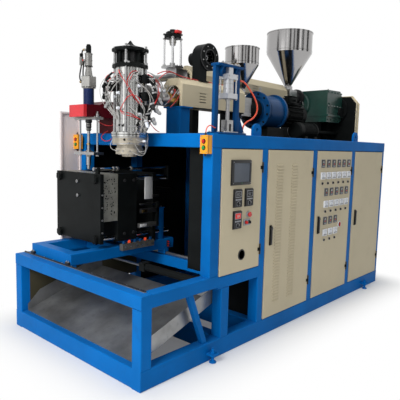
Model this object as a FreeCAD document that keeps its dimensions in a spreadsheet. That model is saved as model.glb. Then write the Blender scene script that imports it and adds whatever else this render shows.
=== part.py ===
import FreeCAD, Part
import math
import os
import re

from FreeCAD import Rotation, Vector
import Sketcher

# A shuttle blow moulding machine. All places are measured from the near front bottom corner of
# the frame: X runs rearwards along the door side, Y across to the far side and Z up.
# Every finished piece is then placed so that the origin is the middle of the footprint.

SIZES = {
    # frame of square tube
    "frame_length": 4030,
    "frame_width": 1770,
    "tube": 100,
    "base_height": 150,
    "low_height": 680,
    "sill_height": 664,
    "deck_height": 1800,
    "top_beam": 110,
    "portal_front": 690,
    "portal_depth": 110,
    "door_post": 88,
    "rear_post": 56,
    "low_post_back": 45,
    "deck_plate": 6,
    "sheet": 4,
    # doors and panels
    "door_1_width": 534,
    "door_gap": 6,
    "door_thick": 24,
    "door_proud": 4,
    "door_skin": 3,
    "door_flange": 18,
    "cabinet_depth": 500,
    "control_box_depth": 330,
    "hinge_inset": 215,
    "hinge_inset_small": 150,
    "hinge_radius": 7,
    "hinge_length": 90,
    "hinge_leaf": 3,
    "hinge_leaf_width": 22,
    "play": 0.3,
    "shaft_play": 0.05,
    "louvre_pitch": 28,
    "louvre_width": 100,
    "louvre_slot": 8,
    "handle_bottom": 830,
    "handle_height": 182,
    "handle_inset": 65,
    "handle_width": 28,
    "handle_base": 8,
    "handle_lever": 14,
    "handle_boss": 9,
    # discharge chute
    "chute_front": 60,
    "chute_rise": 280,
    "chute_side": 130,
    # shuttle carriage and clamp
    "station_x": 500,
    "station_inset": 435,
    "die_y": 752,
    "rail_drop": 60,
    "rail_width": 30,
    "rail_height": 28,
    "front_rail_x": 130,
    "rear_rail_x": 1200,
    "carriage_front": 105,
    "carriage_length": 1185,
    "carriage_width": 640,
    "mould_half": 85,
    "mould_width": 640,
    "mould_rise": 340,
    "mould_drop": 360,
    "cavity_radius": 92,
    "neck_radius": 24,
    "platen_rise": 140,
    "platen_width": 650,
    "front_platen_width": 690,
    "front_platen_thick": 35,
    "moving_platen_thick": 60,
    "moving_platen_depth": 215,
    "tie_bar_radius": 25,
    "tie_bar_boss": 45,
    "tie_bar_span": 560,
    "clamp_plate_thick": 40,
    "clamp_room": 415,
    "ram_radius": 45,
    "ram_cylinder_radius": 110,
    "ram_cylinder_length": 400,
    "shuttle_cylinder_radius": 32,
    "shuttle_cylinder_x": 700,
    # die head
    "die_radius": 115,
    "die_drop": 3,
    "die_height": 518,
    "die_flange_radius": 150,
    "die_flange_thick": 34,
    "die_rod_radius": 10,
    "die_rod_circle": 130,
    # blow pin station
    "arm_width": 224,
    "arm_rise": 135,
    "collar_rise": 270,
    "blow_radius": 48,
    "guide_span": 268,
    "guide_radius": 9,
    "pin_radius": 21,
    "nose_radius": 14,
    "nose_length": 38,
    "pin_gap": 24,
    "pin_plate_rise": 160,
    "pin_plate_thick": 25,
    # lift cylinder beside the portal
    "lift_y": 60,
    "lift_set_back": 235,
    "lift_height": 545,
    "lift_rod_radius": 15,
    # small extruder
    "small_axis_rise": 307,
    "small_hopper_lead": 1495,
    "small_barrel_radius": 55,
    "small_cover_front": 990,
    "small_cover_width": 240,
    "small_cover_rise": 193,
    "small_gear_radius": 175,
    # main extruder
    "main_axis_rise": 555,
    "main_cover_front": 1361,
    "main_head_x": 1164,
    "main_y": 960,
    "main_barrel_radius": 50,
    "main_hopper_back": 815,
    "gearbox_back": 550,
    "gearbox_length": 400,
    "gearbox_width": 720,
    "gearbox_rise": 250,
    "gearbox_height": 405,
    "pulley_radius": 165,
    "guard_back": 100,
    "guard_height": 600,
    # blower
    "blower_rise": 235,
    "blower_radius": 125,
    "blower_width": 115,
}

# places that follow from those sizes
PLACES = {
    "door_width": "(frame_length - rear_post - portal_front - portal_depth - 8 * door_gap"
                  " - door_1_width - 3 * door_post) / 3",
    "station_y": "frame_width - station_inset",
    "rail_base": "low_height - rail_drop",
    "shuttle_cylinder_z": "rail_base + 6",
    "mould_bottom": "low_height + mould_rise",
    "mould_top": "deck_height - mould_drop",
    "mould_height": "mould_top - mould_bottom",
    "cavity_bottom": "mould_bottom + mould_height / 7",
    "cavity_body": "mould_height / 2",
    "platen_bottom": "low_height + platen_rise",
    "tie_bar_low": "platen_bottom + tie_bar_boss",
    "tie_bar_high": "mould_top - tie_bar_boss",
    "ram_height": "(platen_bottom + mould_top) / 2",
    "clamp_plate_x": "station_x + mould_half + clamp_room",
    "die_body_bottom": "deck_height - die_drop",
    "die_body_top": "die_body_bottom + die_height",
    "arm_bottom": "deck_height + arm_rise",
    "collar_z": "arm_bottom + collar_rise",
    "pin_plate_z": "mould_top + pin_plate_rise",
    "pin_tip": "mould_top + pin_gap",
    "lift_x": "portal_front + lift_set_back",
    "lift_top": "deck_height + lift_height",
    "small_axis_z": "deck_height + small_axis_rise",
    "small_cover_top": "small_axis_z + small_cover_rise",
    "gearbox_front": "frame_length - gearbox_back",
    "small_hopper_x": "gearbox_front - small_hopper_lead",
    "small_cover_length": "small_hopper_x - 81 - small_cover_front",
    "main_axis_z": "deck_height + main_axis_rise",
    "main_hopper_x": "frame_length - main_hopper_back",
    "main_cover_length": "main_hopper_x - 134 - main_cover_front",
    "gearbox_near": "main_y - 420",
    "gearbox_bottom": "deck_height + gearbox_rise",
    "gearbox_top": "gearbox_bottom + gearbox_height",
    "pulley_y": "gearbox_near + 100",
    "pulley_z": "gearbox_bottom + 180",
    "guard_front": "frame_length - guard_back",
    "guard_top": "deck_height + guard_height",
    "blower_x": "small_cover_front + small_cover_length * 405 / 914",
    "blower_z": "small_cover_top + blower_rise",
}

TUBE_CORNER = 8

doc = FreeCAD.newDocument("blow_moulding_machine")
sheet = doc.addObject("Spreadsheet::Sheet", "Sizes")
for row, alias in enumerate([*SIZES, *PLACES], start=1):
    sheet.set("A%d" % row, alias)
    sheet.setAlias("B%d" % row, alias)
    sheet.set("B%d" % row, str(SIZES[alias]) if alias in SIZES else "=" + PLACES[alias])
doc.recompute()

nodes = []


def linked(formula):
    """The formula with every size's name led back to its cell."""
    return re.sub(r"[a-z][a-z_0-9]*", lambda word: "Sizes." + word.group(0)
                  if word.group(0) in SIZES or word.group(0) in PLACES else word.group(0),
                  str(formula))


def value(formula):
    return float(sheet.evalExpression(str(formula)))


def bind(obj, prop, formula):
    obj.setExpression(prop, linked(formula))


def put(obj, at, turn=None):
    if turn is not None:
        obj.Placement.Rotation = turn
    for axis, formula in zip("xyz", at):
        bind(obj, "Placement.Base." + axis, formula)
    return obj


ALONG = {
    "X": Rotation(Vector(0, 1, 0), 90),
    "Y": Rotation(Vector(1, 0, 0), -90),
    "Z": Rotation(),
}


def box(name, at, size):
    made = doc.addObject("Part::Box", name)
    for prop, formula in zip(("Length", "Width", "Height"), size):
        bind(made, prop, formula)
    return put(made, at)


def rod(name, at, radius, length, along="Z"):
    """A round bar from the middle of its lower end."""
    made = doc.addObject("Part::Cylinder", name)
    bind(made, "Radius", radius)
    bind(made, "Height", length)
    return put(made, at, ALONG[along])


def hexagon(name, at, corner_radius, length, along="Z"):
    made = doc.addObject("Part::Prism", name)
    made.Polygon = 6
    bind(made, "Circumradius", corner_radius)
    bind(made, "Height", length)
    return put(made, at, ALONG[along])


LONG_EDGES = {"X": (9, 10, 11, 12), "Y": (2, 4, 6, 8), "Z": (1, 3, 5, 7)}


def beam(name, at, size, along):
    """A tube with rounded long edges."""
    bar = box(name + "_blank", at, size)
    rounded = doc.addObject("Part::Fillet", name)
    rounded.Base = bar
    rounded.Edges = [(edge, TUBE_CORNER, TUBE_CORNER) for edge in LONG_EDGES[along]]
    return rounded


def cut(name, base, tools):
    made = doc.addObject("Part::Cut", name)
    made.Base = base
    made.Tool = tools[0] if len(tools) == 1 else fuse(name + "_tools", tools)
    return made


def fuse(name, pieces):
    made = doc.addObject("Part::MultiFuse", name)
    made.Shapes = pieces
    made.Refine = True
    return made


def node(label, pieces):
    """One finished piece, or several alike, shifted so that the footprint's middle is the origin."""
    made = doc.addObject("Part::Compound", label)
    made.Label = label
    made.Links = pieces
    put(made, ("-frame_length / 2", "-frame_width / 2", "0"))
    nodes.append(made)
    return made


def outline(body, plane, points, name):
    """A closed outline through the points, each held from the origin by its two sizes."""
    sketch = body.newObject("Sketcher::SketchObject", name)
    face = [f for f in body.Origin.OriginFeatures if f.Role == plane + "_Plane"][0]
    sketch.AttachmentSupport = [(face, "")]
    sketch.MapMode = "FlatFace"
    places = [(value(u), value(v)) for u, v in points]
    count = len(points)
    for i in range(count):
        start = Vector(places[i][0], places[i][1], 0)
        end = Vector(places[(i + 1) % count][0], places[(i + 1) % count][1], 0)
        sketch.addGeometry(Part.LineSegment(start, end))
    for i in range(count):
        sketch.addConstraint(Sketcher.Constraint("Coincident", i, 2, (i + 1) % count, 1))
    for i, (u, v) in enumerate(points):
        hold(sketch, "DistanceX", i, u, places[i][0], -2)
        hold(sketch, "DistanceY", i, v, places[i][1], -1)
    return sketch


def hold(sketch, kind, line, formula, place, axis):
    if place == 0:
        sketch.addConstraint(Sketcher.Constraint("PointOnObject", line, 1, axis))
        return
    k = sketch.addConstraint(Sketcher.Constraint(kind, -1, 1, line, 1, place))
    sketch.setExpression("Constraints[%d]" % k, linked(formula))


def slab(name, plane, points, depth, at):
    """An outline padded towards +Y from an XZ plane, +X from a YZ plane or +Z from an XY plane."""
    body = doc.addObject("PartDesign::Body", name)
    sketch = outline(body, plane, points, name + "_outline")
    pad = body.newObject("PartDesign::Pad", name + "_pad")
    pad.Profile = sketch
    pad.Reversed = plane == "XZ"
    bind(pad, "Length", depth)
    body.Tip = pad
    put(body, at)
    return body


def turned(name, points, at, along="Z"):
    """A profile of (radius, height) points turned about its axis."""
    body = doc.addObject("PartDesign::Body", name)
    sketch = outline(body, "XZ", points, name + "_outline")
    spin = body.newObject("PartDesign::Revolution", name + "_turn")
    spin.Profile = sketch
    spin.ReferenceAxis = (sketch, ["V_Axis"])
    spin.Angle = 360
    body.Tip = spin
    put(body, at, ALONG[along])
    return body


# ---------------------------------------------------------------- frame

FAR_TUBE = "frame_width - tube"
BAY_POSTS = [
    "portal_front + portal_depth + 2 * door_gap + door_1_width",
    "portal_front + portal_depth + 4 * door_gap + door_1_width + door_post + door_width",
    "portal_front + portal_depth + 6 * door_gap + door_1_width + 2 * door_post + 2 * door_width",
]
REAR_POST = ("portal_front + portal_depth + 8 * door_gap + door_1_width + 3 * door_post"
             " + 3 * door_width")
DOOR_LEFTS = ["portal_front + portal_depth + door_gap"] + [
    post + " + door_post + door_gap" for post in BAY_POSTS]
LOW_POST = "portal_front + portal_depth + low_post_back"
BETWEEN = "frame_width - 2 * tube"
TOP_BEAM_Z = "deck_height - top_beam"


def base_beams():
    beams = []
    for name, y in (("near_base", "0"), ("far_base", FAR_TUBE)):
        beams.append(beam(name, ("0", y, "0"), ("frame_length", "tube", "base_height"), "X"))
    crossings = ["0", LOW_POST, *BAY_POSTS, "frame_length - tube"]
    for i, x in enumerate(crossings):
        beams.append(beam("base_cross_%d" % i, (x, "tube", "0"), ("tube", BETWEEN, "base_height"),
                          "Y"))
    node("base_beams", beams + levelling_feet())


def low_frame():
    bars = []
    for side, y in (("near", "0"), ("far", FAR_TUBE)):
        bars.append(beam(side + "_corner_post", ("0", y, "base_height"),
                         ("tube", "tube", "low_height - tube - base_height"), "Z"))
        bars.append(beam(side + "_low_beam", ("tube", y, "low_height - tube"),
                         ("portal_front + portal_depth - tube", "tube", "tube"), "X"))
        bars.append(beam(side + "_sill", ("portal_front + portal_depth", y, "sill_height - tube"),
                         (BAY_POSTS[0] + " - portal_front - portal_depth", "tube", "tube"), "X"))
        bars.append(beam(side + "_low_post", (LOW_POST, y, "base_height"),
                         ("tube", "tube", "sill_height - tube - base_height"), "Z"))
    bars.append(beam("front_low_beam", ("0", "0", "low_height - tube"),
                     ("tube", "frame_width", "tube"), "Y"))
    bars.append(beam("rail_beam", ("rear_rail_x - tube / 2", "tube", "rail_base - tube"),
                     ("tube", BETWEEN, "tube"), "Y"))
    bars.append(box("front_rail_ledge", ("tube", "tube", "rail_base - 20"),
                    ("60", BETWEEN, "20")))
    bars.append(box("chute_rest", (LOW_POST, "tube", "base_height + chute_rise - 66"),
                    ("45", BETWEEN, "50")))
    lean = [("0", "base_height"), ("50", "base_height"), ("-125", "low_height - tube"),
            ("-175", "low_height - tube")]
    bars.append(slab("brace", "XZ", lean, "40", ("portal_front - 35", "20", "0")))
    node("low_frame", bars)


def lifting_lug(name, x, y):
    width = 120
    plate = fuse(name + "_plate", [
        box(name + "_foot", (x, y, "deck_height"), (width, "20", "45")),
        rod(name + "_round", ("%s + %d" % (x, width / 2), y, "deck_height + 45"), width / 2, "20",
            "Y"),
    ])
    top_half = box(name + "_below", (x + " - 5", y + " - 5", "deck_height - 100"),
                   (width + 10, "30", "100"))
    hole = rod(name + "_hole", ("%s + %d" % (x, width / 2), y + " - 5", "deck_height + 52"), "16",
               "30", "Y")
    return cut(name, plate, [top_half, hole])


def upper_frame():
    bars = []
    for side, y in (("near", "0"), ("far", FAR_TUBE)):
        bars.append(beam(side + "_portal_post", ("portal_front", y, "low_height"),
                         ("portal_depth", "tube", TOP_BEAM_Z + " - low_height"), "Z"))
        bars.append(beam(side + "_top_beam", ("portal_front", y, TOP_BEAM_Z),
                         ("frame_length - portal_front", "tube", "top_beam"), "X"))
        for i, x in enumerate(BAY_POSTS):
            bars.append(beam("%s_bay_post_%d" % (side, i), (x, y, "base_height"),
                             ("door_post", "tube", TOP_BEAM_Z + " - base_height"), "Z"))
        bars.append(beam(side + "_rear_post", (REAR_POST, y, "base_height"),
                         ("frame_length - (%s)" % REAR_POST, "tube",
                          TOP_BEAM_Z + " - base_height"), "Z"))
    for i, x in enumerate(["portal_front", *BAY_POSTS, "frame_length - tube"]):
        bars.append(beam("top_cross_%d" % i, (x, "tube", TOP_BEAM_Z), ("tube", BETWEEN, "top_beam"),
                         "Y"))
    bars.append(beam("rear_middle_post",
                     ("frame_length - rear_post", "frame_width / 2 - tube / 2", "base_height"),
                     ("rear_post", "tube", TOP_BEAM_Z + " - base_height"), "Z"))
    rear_lug = "frame_length - 830"
    for i, (x, y) in enumerate([("1250", "40"), (rear_lug, "40"), ("1250", "frame_width - 60"),
                                (rear_lug, "frame_width - 60")]):
        bars.append(lifting_lug("lug_%d" % i, x, y))
    node("upper_frame", bars)


def levelling_feet():
    """Screw feet on brackets outside the two long base beams."""
    feet = []
    reach = 75
    for side, edge, sign in (("near", "0", -1), ("far", "frame_width", 1)):
        for i, x in enumerate(("portal_front - 10", "frame_length - 470")):
            name = "%s_foot_%d" % (side, i)
            start = edge if sign > 0 else "-%d" % reach
            middle = "%s + %d" % (edge, sign * 38)
            screw_hole = rod(name + "_bore", (x + " + 35", middle, "50"), "12", "30")
            bracket = cut(name + "_bracket", box(name + "_plate", (x, start, "60"),
                                                 ("70", reach, "14")), [screw_hole])
            pad = turned(name + "_pad", [("0", "0"), ("28", "0"), ("28", "10"), ("14", "16"),
                                         ("12", "16"), ("12", "118"), ("0", "118")],
                         (x + " + 35", middle, "0"))
            nut = cut(name + "_nut", hexagon(name + "_hex", (x + " + 35", middle, "74"), "21",
                                             "18"),
                      [rod(name + "_nut_bore", (x + " + 35", middle, "70"), "12", "30")])
            feet += [bracket, pad, nut]
    return feet


# ---------------------------------------------------------------- chute, deck and panels

def discharge_chute():
    """A sloped tray that runs down to the front opening, with upstand sides."""
    run = LOW_POST + " + 45 - chute_front"
    rise = "chute_rise"
    low = "base_height"
    floor = [("0", low), (run, low + " + " + rise), (run, low + " + sheet + " + rise),
             ("0", low + " + sheet")]
    side = [("0", low), (run, low + " + " + rise), (run, low + " + chute_side + " + rise),
            ("120", low + " + chute_side + 45"), ("0", low + " + 60")]
    inside = "frame_width - 2 * tube - 8"
    tray = [
        slab("chute_floor", "XZ", floor, inside, ("chute_front", "tube + 4", "0")),
        slab("chute_near_side", "XZ", side, "sheet", ("chute_front", "tube + 4", "0")),
        slab("chute_far_side", "XZ", side, "sheet",
             ("chute_front", "frame_width - tube - 4 - sheet", "0")),
    ]
    blank = fuse("chute_blank", tray)
    ledge = box("chute_beam_clear", ("0", "0", "base_height - 50"), ("tube", "frame_width", "50"))
    node("discharge_chute", [cut("chute", blank, [ledge])])


def control_box_plates():
    """The five plates of the shallow steel box behind the control door, open towards the door."""
    left = "portal_front + portal_depth - 12"
    width = BAY_POSTS[0] + " - portal_front - portal_depth + 24"
    height = TOP_BEAM_Z + " - low_height"
    deep = "control_box_depth - tube - sheet"
    right = "%s + %s - sheet" % (left, width)
    plates = [box("control_box_back", (left, "control_box_depth - sheet", "low_height"),
                  (width, "sheet", height))]
    for name, x in (("front", left), ("rear", right)):
        plates.append(box("control_box_%s_side" % name, (x, "tube", "low_height"),
                          ("sheet", deep, height)))
    for name, z in (("floor", "low_height"), ("roof", TOP_BEAM_Z + " - sheet")):
        plates.append(box("control_box_" + name, (left + " + sheet", "tube", z),
                          (width + " - 2 * sheet", deep, "sheet")))
    return plates


def cabinet_liner():
    """The electrical cabinet's steel inner box, open to the doors."""
    left = BAY_POSTS[0] + " + door_post"
    length = REAR_POST + " - (" + left + ")"
    deep = "cabinet_depth - tube"
    outer = box("liner_outer", (left, "tube", "base_height"),
                (length, deep, TOP_BEAM_Z + " - base_height"))
    inner = box("liner_inner", (left + " + sheet", "tube - 10", "base_height + sheet"),
                (length + " - 2 * sheet", deep + " + 10 - sheet",
                 TOP_BEAM_Z + " - base_height - 2 * sheet"))
    return cut("liner", outer, [inner])


def panel(name, at, size, inset):
    """A folded sheet panel, hollow at the back. Inset gives the hollow's place and size."""
    return cut(name, box(name + "_blank", at, size), [box(name + "_hollow", *inset)])


def cabinet_panels():
    panels = []
    low = "base_height"
    height = TOP_BEAM_Z + " - base_height"
    y = "frame_width - door_thick + door_proud"
    width = "door_width"
    for i, x in enumerate(DOOR_LEFTS[1:]):
        hollow = ((x + " + door_flange", y + " - 5", low + " + door_flange"),
                  (width + " - 2 * door_flange", "door_thick + 5 - door_skin",
                   height + " - 2 * door_flange"))
        panels.append(panel("far_panel_%d" % i, (x, y, low), (width, "door_thick", height), hollow))
    first = ("sill_height", TOP_BEAM_Z + " - sill_height")
    hollow = ((DOOR_LEFTS[0] + " + door_flange", y + " - 5", first[0] + " + door_flange"),
              ("door_1_width - 2 * door_flange", "door_thick + 5 - door_skin",
               first[1] + " - 2 * door_flange"))
    panels.append(panel("far_panel_small", (DOOR_LEFTS[0], y, first[0]),
                        ("door_1_width", "door_thick", first[1]), hollow))
    rear_width = "frame_width / 2 - 50 - tube - 2 * door_gap"
    x = "frame_length - door_thick"
    for i, y_start in enumerate(("tube + door_gap", "frame_width / 2 + 50 + door_gap")):
        hollow = ((x + " - 5", y_start + " + door_flange", low + " + door_flange"),
                  ("door_thick + 5 - door_skin", rear_width + " - 2 * door_flange",
                   height + " - 2 * door_flange"))
        panels.append(panel("rear_panel_%d" % i, (x, y_start, low),
                            ("door_thick", rear_width, height), hollow))
    node("cabinet_panels", [*panels, cabinet_liner(), side_guard()])
    node("control_box", control_box_plates())


# ---------------------------------------------------------------- doors

PIN_Y = "-door_proud - hinge_radius"
STOP_X = DOOR_LEFTS[0] + " + 349"
STOP_Z = "deck_height - 655"


def hinge_heights(bottom, inset):
    top = "deck_height - top_beam - door_gap"
    return [bottom + " + " + inset, top + " - " + inset]


def hinge(name, pin_x, z):
    """The fixed half with its pin, and the moving half, of one outside hinge."""
    third = "hinge_length / 3"
    low = z + " - hinge_length / 2"
    pin = rod(name + "_pin", (pin_x, PIN_Y, low), "hinge_radius / 2", "hinge_length")
    fixed = [pin, box(name + "_fixed_leaf", (pin_x + " + 1", "-hinge_leaf", low),
                      ("hinge_leaf_width", "hinge_leaf", "hinge_length"))]
    for end, start in (("low", low), ("high", z + " + hinge_length / 6")):
        fixed.append(rod("%s_%s_knuckle" % (name, end), (pin_x, PIN_Y, start), "hinge_radius",
                         third))
        fixed.append(box("%s_%s_neck" % (name, end), (pin_x, PIN_Y, start),
                         ("hinge_radius", "door_proud + hinge_radius", third)))
    inner = z + " - hinge_length / 6 + play"
    short = "hinge_length / 3 - 2 * play"
    knuckle = fuse(name + "_moving_blank", [
        rod(name + "_knuckle", (pin_x, PIN_Y, inner), "hinge_radius", short),
        box(name + "_neck", (pin_x + " - hinge_radius", PIN_Y, inner),
            ("hinge_radius", "hinge_radius", short)),
        box(name + "_leaf", (pin_x + " - hinge_leaf_width - 3", "-door_proud - hinge_leaf", inner),
            ("hinge_leaf_width", "hinge_leaf", short)),
    ])
    bore = rod(name + "_bore", (pin_x, PIN_Y, low), "hinge_radius / 2 + shaft_play",
               "hinge_length")
    return fuse(name + "_fixed", fixed), cut(name + "_moving", knuckle, [bore])


def door_blank(name, left, bottom, width):
    """A folded sheet door: a slab hollowed from behind to its skin and edge flanges."""
    height = "deck_height - top_beam - door_gap - (%s)" % bottom
    body = doc.addObject("PartDesign::Body", name)
    face = [("0", "0"), (width, "0"), (width, height), ("0", height)]
    pad = body.newObject("PartDesign::Pad", name + "_pad")
    pad.Profile = outline(body, "XZ", face, name + "_face")
    pad.Reversed = True
    bind(pad, "Length", "door_thick")
    inner = [("door_flange", "door_flange"), (width + " - door_flange", "door_flange"),
             (width + " - door_flange", height + " - door_flange"),
             ("door_flange", height + " - door_flange")]
    hollow_sketch = outline(body, "XZ", inner, name + "_inner")
    bind(hollow_sketch, "AttachmentOffset.Base.z", "-door_thick")
    hollow = body.newObject("PartDesign::Pocket", name + "_hollow")
    hollow.Profile = hollow_sketch
    hollow.Reversed = True
    bind(hollow, "Length", "door_thick - door_skin")
    body.Tip = hollow
    put(body, (left, "-door_proud", bottom))
    return body, height


def add_louvres(body, width, height):
    """Two columns of hooded slots, repeated up the door."""
    first = 130
    hood = body.newObject("PartDesign::Pad", "louvre_hoods")
    hood.Profile = louvre_pairs(body, "louvre_hood_outline", first + 4, "4")
    hood.Length = 5
    slots = body.newObject("PartDesign::Pocket", "louvre_slots")
    slots.Profile = louvre_pairs(body, "louvre_slot_outline", first - 4, "louvre_slot")
    slots.Type = 1
    slots.Reversed = False
    slots.Midplane = True
    doc.recompute()
    pattern = body.newObject("PartDesign::LinearPattern", "louvre_rows")
    pattern.Originals = [hood, slots]
    upwards = [f for f in body.Origin.OriginFeatures if f.Role == "Z_Axis"][0]
    pattern.Direction = (upwards, [""])
    pattern.Occurrences = int((value(height) - 2 * first) // SIZES["louvre_pitch"]) + 1
    bind(pattern, "Length", "louvre_pitch * %d" % (pattern.Occurrences - 1))
    body.Tip = pattern


def louvre_pairs(body, name, z, thick):
    """Two equal rectangles side by side in one sketch."""
    def corners(left):
        right = "%d + louvre_width" % left
        upper = "%s + %s" % (z, thick)
        return [(left, z), (right, z), (right, upper), (left, upper)]

    sketch = outline(body, "XZ", corners(140), name)
    formulas = corners(390)
    places = [(value(u), value(v)) for u, v in formulas]
    for i in range(4):
        start = Vector(places[i][0], places[i][1], 0)
        end = Vector(places[(i + 1) % 4][0], places[(i + 1) % 4][1], 0)
        sketch.addGeometry(Part.LineSegment(start, end))
    for i in range(4):
        sketch.addConstraint(Sketcher.Constraint("Coincident", i + 4, 2, (i + 1) % 4 + 4, 1))
        hold(sketch, "DistanceX", i + 4, formulas[i][0], places[i][0], -2)
        hold(sketch, "DistanceY", i + 4, formulas[i][1], places[i][1], -1)
    return sketch


def handle(number, left):
    """A lever handle: its base on the door, and the lever that swings about its upper boss."""
    name = "door_%d_handle" % number
    x = "%s + handle_inset" % left
    boss_z = "handle_bottom + handle_height - handle_width"
    face = "-door_proud - handle_base"
    base = box(name + "_base_blank", (x + " - handle_width / 2", face, "handle_bottom"),
               ("handle_width", "handle_base", "handle_height"))
    bore = rod(name + "_bore", (x, face + " - 1", boss_z), "handle_boss + shaft_play",
               "handle_base + 2", "Y")
    lever_y = face + " - play - handle_lever"
    grip = box(name + "_grip", (x + " - 8", lever_y, "handle_bottom + 8"),
               ("16", "handle_lever", "handle_height - 16"))
    head = rod(name + "_head", (x, lever_y, boss_z), "14", "handle_lever", "Y")
    shaft = rod(name + "_shaft", (x, lever_y, boss_z), "handle_boss",
                "handle_lever + play + handle_base - 0.5", "Y")
    node(name, [fuse(name + "_lever", [grip, head, shaft])])
    return cut(name + "_base", base, [bore])


def doors():
    fixed_hinges = []
    for number in (1, 2, 3, 4):
        left = DOOR_LEFTS[number - 1]
        small = number == 1
        width = "door_1_width" if small else "door_width"
        bottom = "sill_height + door_gap" if small else "base_height + door_gap"
        name = "door_%d" % number
        blank, height = door_blank(name + "_panel", left, bottom, width)
        pieces = [blank]
        if small:
            cable_hole = rod("cable_hole", (left + " + 282", "-20", "sill_height + 144"), "38", "40", "Y")
            stop_hole = rod("stop_hole", (STOP_X, "-20", STOP_Z), "12", "40", "Y")
            pieces = [cut("door_1_cut", blank, [cable_hole, stop_hole])]
        if number == 2:
            add_louvres(blank, width, height)
        if not small:
            pieces.append(handle(number, left))
        inset = "hinge_inset_small" if small else "hinge_inset"
        pin_x = "%s + %s + door_gap / 2" % (left, width)
        for i, z in enumerate(hinge_heights(bottom, inset)):
            fixed, moving = hinge("%s_hinge_%d" % (name, i), pin_x, z)
            fixed_hinges.append(fixed)
            pieces.append(moving)
        node(name, pieces)
    node("door_hinges", fixed_hinges)


# ---------------------------------------------------------------- controls

FACE = "-door_proud"


def stepped(name, x, z, width, height, depth, rim, sink):
    """A panel instrument: a body with a sunk window."""
    at = ("%s - (%s) / 2" % (x, width), "%s - %s" % (FACE, depth), "%s - (%s) / 2" % (z, height))
    blank = box(name + "_case", at, (width, depth, height))
    window = box(name + "_window",
                 ("%s - (%s) / 2 + %s" % (x, width, rim), "%s - %s - 1" % (FACE, depth),
                  "%s - (%s) / 2 + %s" % (z, height, rim)),
                 ("%s - 2 * %s" % (width, rim), "%s + 1" % sink, "%s - 2 * %s" % (height, rim)))
    return cut(name, blank, [window])


def door_1_controls():
    left = DOOR_LEFTS[0]
    node("touch_screen", [stepped("screen", left + " + 234", "deck_height - 303", "260", "206",
                                  "14", "18", "3")])
    pieces = []
    for i, (x, z) in enumerate([(197, 512), (350, 512), (200, 690)]):
        pieces.append(stepped("speed_meter_%d" % i, "%s + %d" % (left, x), "deck_height - %d" % z,
                              "108", "150", "18", "9", "3"))
    selector_z = "deck_height - 720"
    selector = box("selector_case", (left + " + 292", "%s - 10" % FACE, selector_z + " - 28"),
                   ("88", "10", "56"))
    bores = []
    for i, x in enumerate((314, 358)):
        place = ("%s + %d" % (left, x), "%s - 22" % FACE, selector_z)
        bores.append(rod("selector_bore_%d" % i, place, "13", "23", "Y"))
        skirt = rod("selector_skirt_%d" % i, place, "13", "22", "Y")
        wing = box("selector_wing_%d" % i, ("%s + %d - 3.5" % (left, x), "%s - 34" % FACE,
                                            selector_z + " - 12"), ("7", "14", "24"))
        pieces.append(fuse("selector_knob_%d" % i, [skirt, wing]))
    pieces.append(cut("selector_plate", selector, bores))
    collar = rod("stop_collar", (STOP_X, "%s - 12" % FACE, STOP_Z), "24", "12", "Y")
    pieces.append(cut("stop_collar_ring", collar, [
        rod("stop_collar_bore", (STOP_X, "%s - 13" % FACE, STOP_Z), "11 + shaft_play", "20",
            "Y")]))
    node("door_1_instruments", pieces)
    stem = rod("stop_stem", (STOP_X, "%s - 22" % FACE, STOP_Z), "11", "21", "Y")
    cap = turned("stop_cap", [("0", "0"), ("21", "0"), ("21", "6"), ("15", "14"), ("0", "14")],
                 (STOP_X, "%s - 22" % FACE, STOP_Z), "Y")
    cap.Placement.Rotation = Rotation(Vector(1, 0, 0), 90)
    node("emergency_stop", [fuse("stop_button", [stem, cap])])


CONTROL_ROWS = [
    # first column from the door's left edge, row below the deck, how many
    (109, 244, 6),
    (202, 543, 5),
    (208, 847, 3),
]


def door_3_controls():
    """Rows of temperature controllers, each with its meter and its switch below."""
    controllers = []
    meters = []
    knobs = []
    left = DOOR_LEFTS[2]
    for row, (first, drop, count) in enumerate(CONTROL_ROWS):
        z = "deck_height - %d" % drop
        for i in range(count):
            x = "%s + %d + %d * (door_width - 186) / 5" % (left, first, i)
            tag = "%d_%d" % (row, i)
            controllers.append(stepped("controller_" + tag, x, z, "76", "86", "9", "7", "2"))
            meters.append(stepped("ammeter_" + tag, x, z + " - 125", "84", "72", "16", "6", "2"))
            knobs.append(rod("knob_skirt_" + tag, (x, "%s - 16" % FACE, z + " - 205"), "12", "16",
                             "Y"))
    dial = rod("main_switch", (left + " + 554", "%s - 14" % FACE, "deck_height - 918"), "26",
               "14", "Y")
    node("door_3_instruments", [*controllers, *meters, *knobs, dial])


def push_button(name, x, y, z, radius):
    """A button that faces forwards, with its stem in the box's bore."""
    cap = rod(name + "_cap", (x + " - 10", y, z), radius, "6", "X")
    stem = rod(name + "_stem", (x + " - 10", y, z), "7", "22", "X")
    node(name, [fuse(name + "_piece", [cap, stem])])
    return rod(name + "_bore", (x + " - 1", y, z), "7 + shaft_play", "27", "X")


def button_boxes():
    boxes = []
    for side, front, y in (("near", "portal_front - 55", "45"),
                           ("far", "portal_front - 80", "frame_width - 53")):
        case = box(side + "_case", (front, y + " - 37", "deck_height - 155"), ("55", "74", "140"))
        bores = [push_button(side + "_stop_button", front, y, "deck_height - 62", 13),
                 push_button(side + "_start_button", front, y, "deck_height - 110", 13)]
        boxes.append(cut(side + "_button_box", case, bores))
    node("button_boxes", boxes)


# ---------------------------------------------------------------- shuttle carriage

CARRIAGE_Y = "station_y - carriage_width / 2"


def shuttle_rails():
    rails = []
    for name, x in (("front_rail", "front_rail_x"), ("rear_rail", "rear_rail_x")):
        rails.append(box(name, (x + " - rail_width / 2", "tube + 10", "rail_base"),
                         ("rail_width", BETWEEN + " - 20", "rail_height")))
    node("shuttle_rails", rails)


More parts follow.
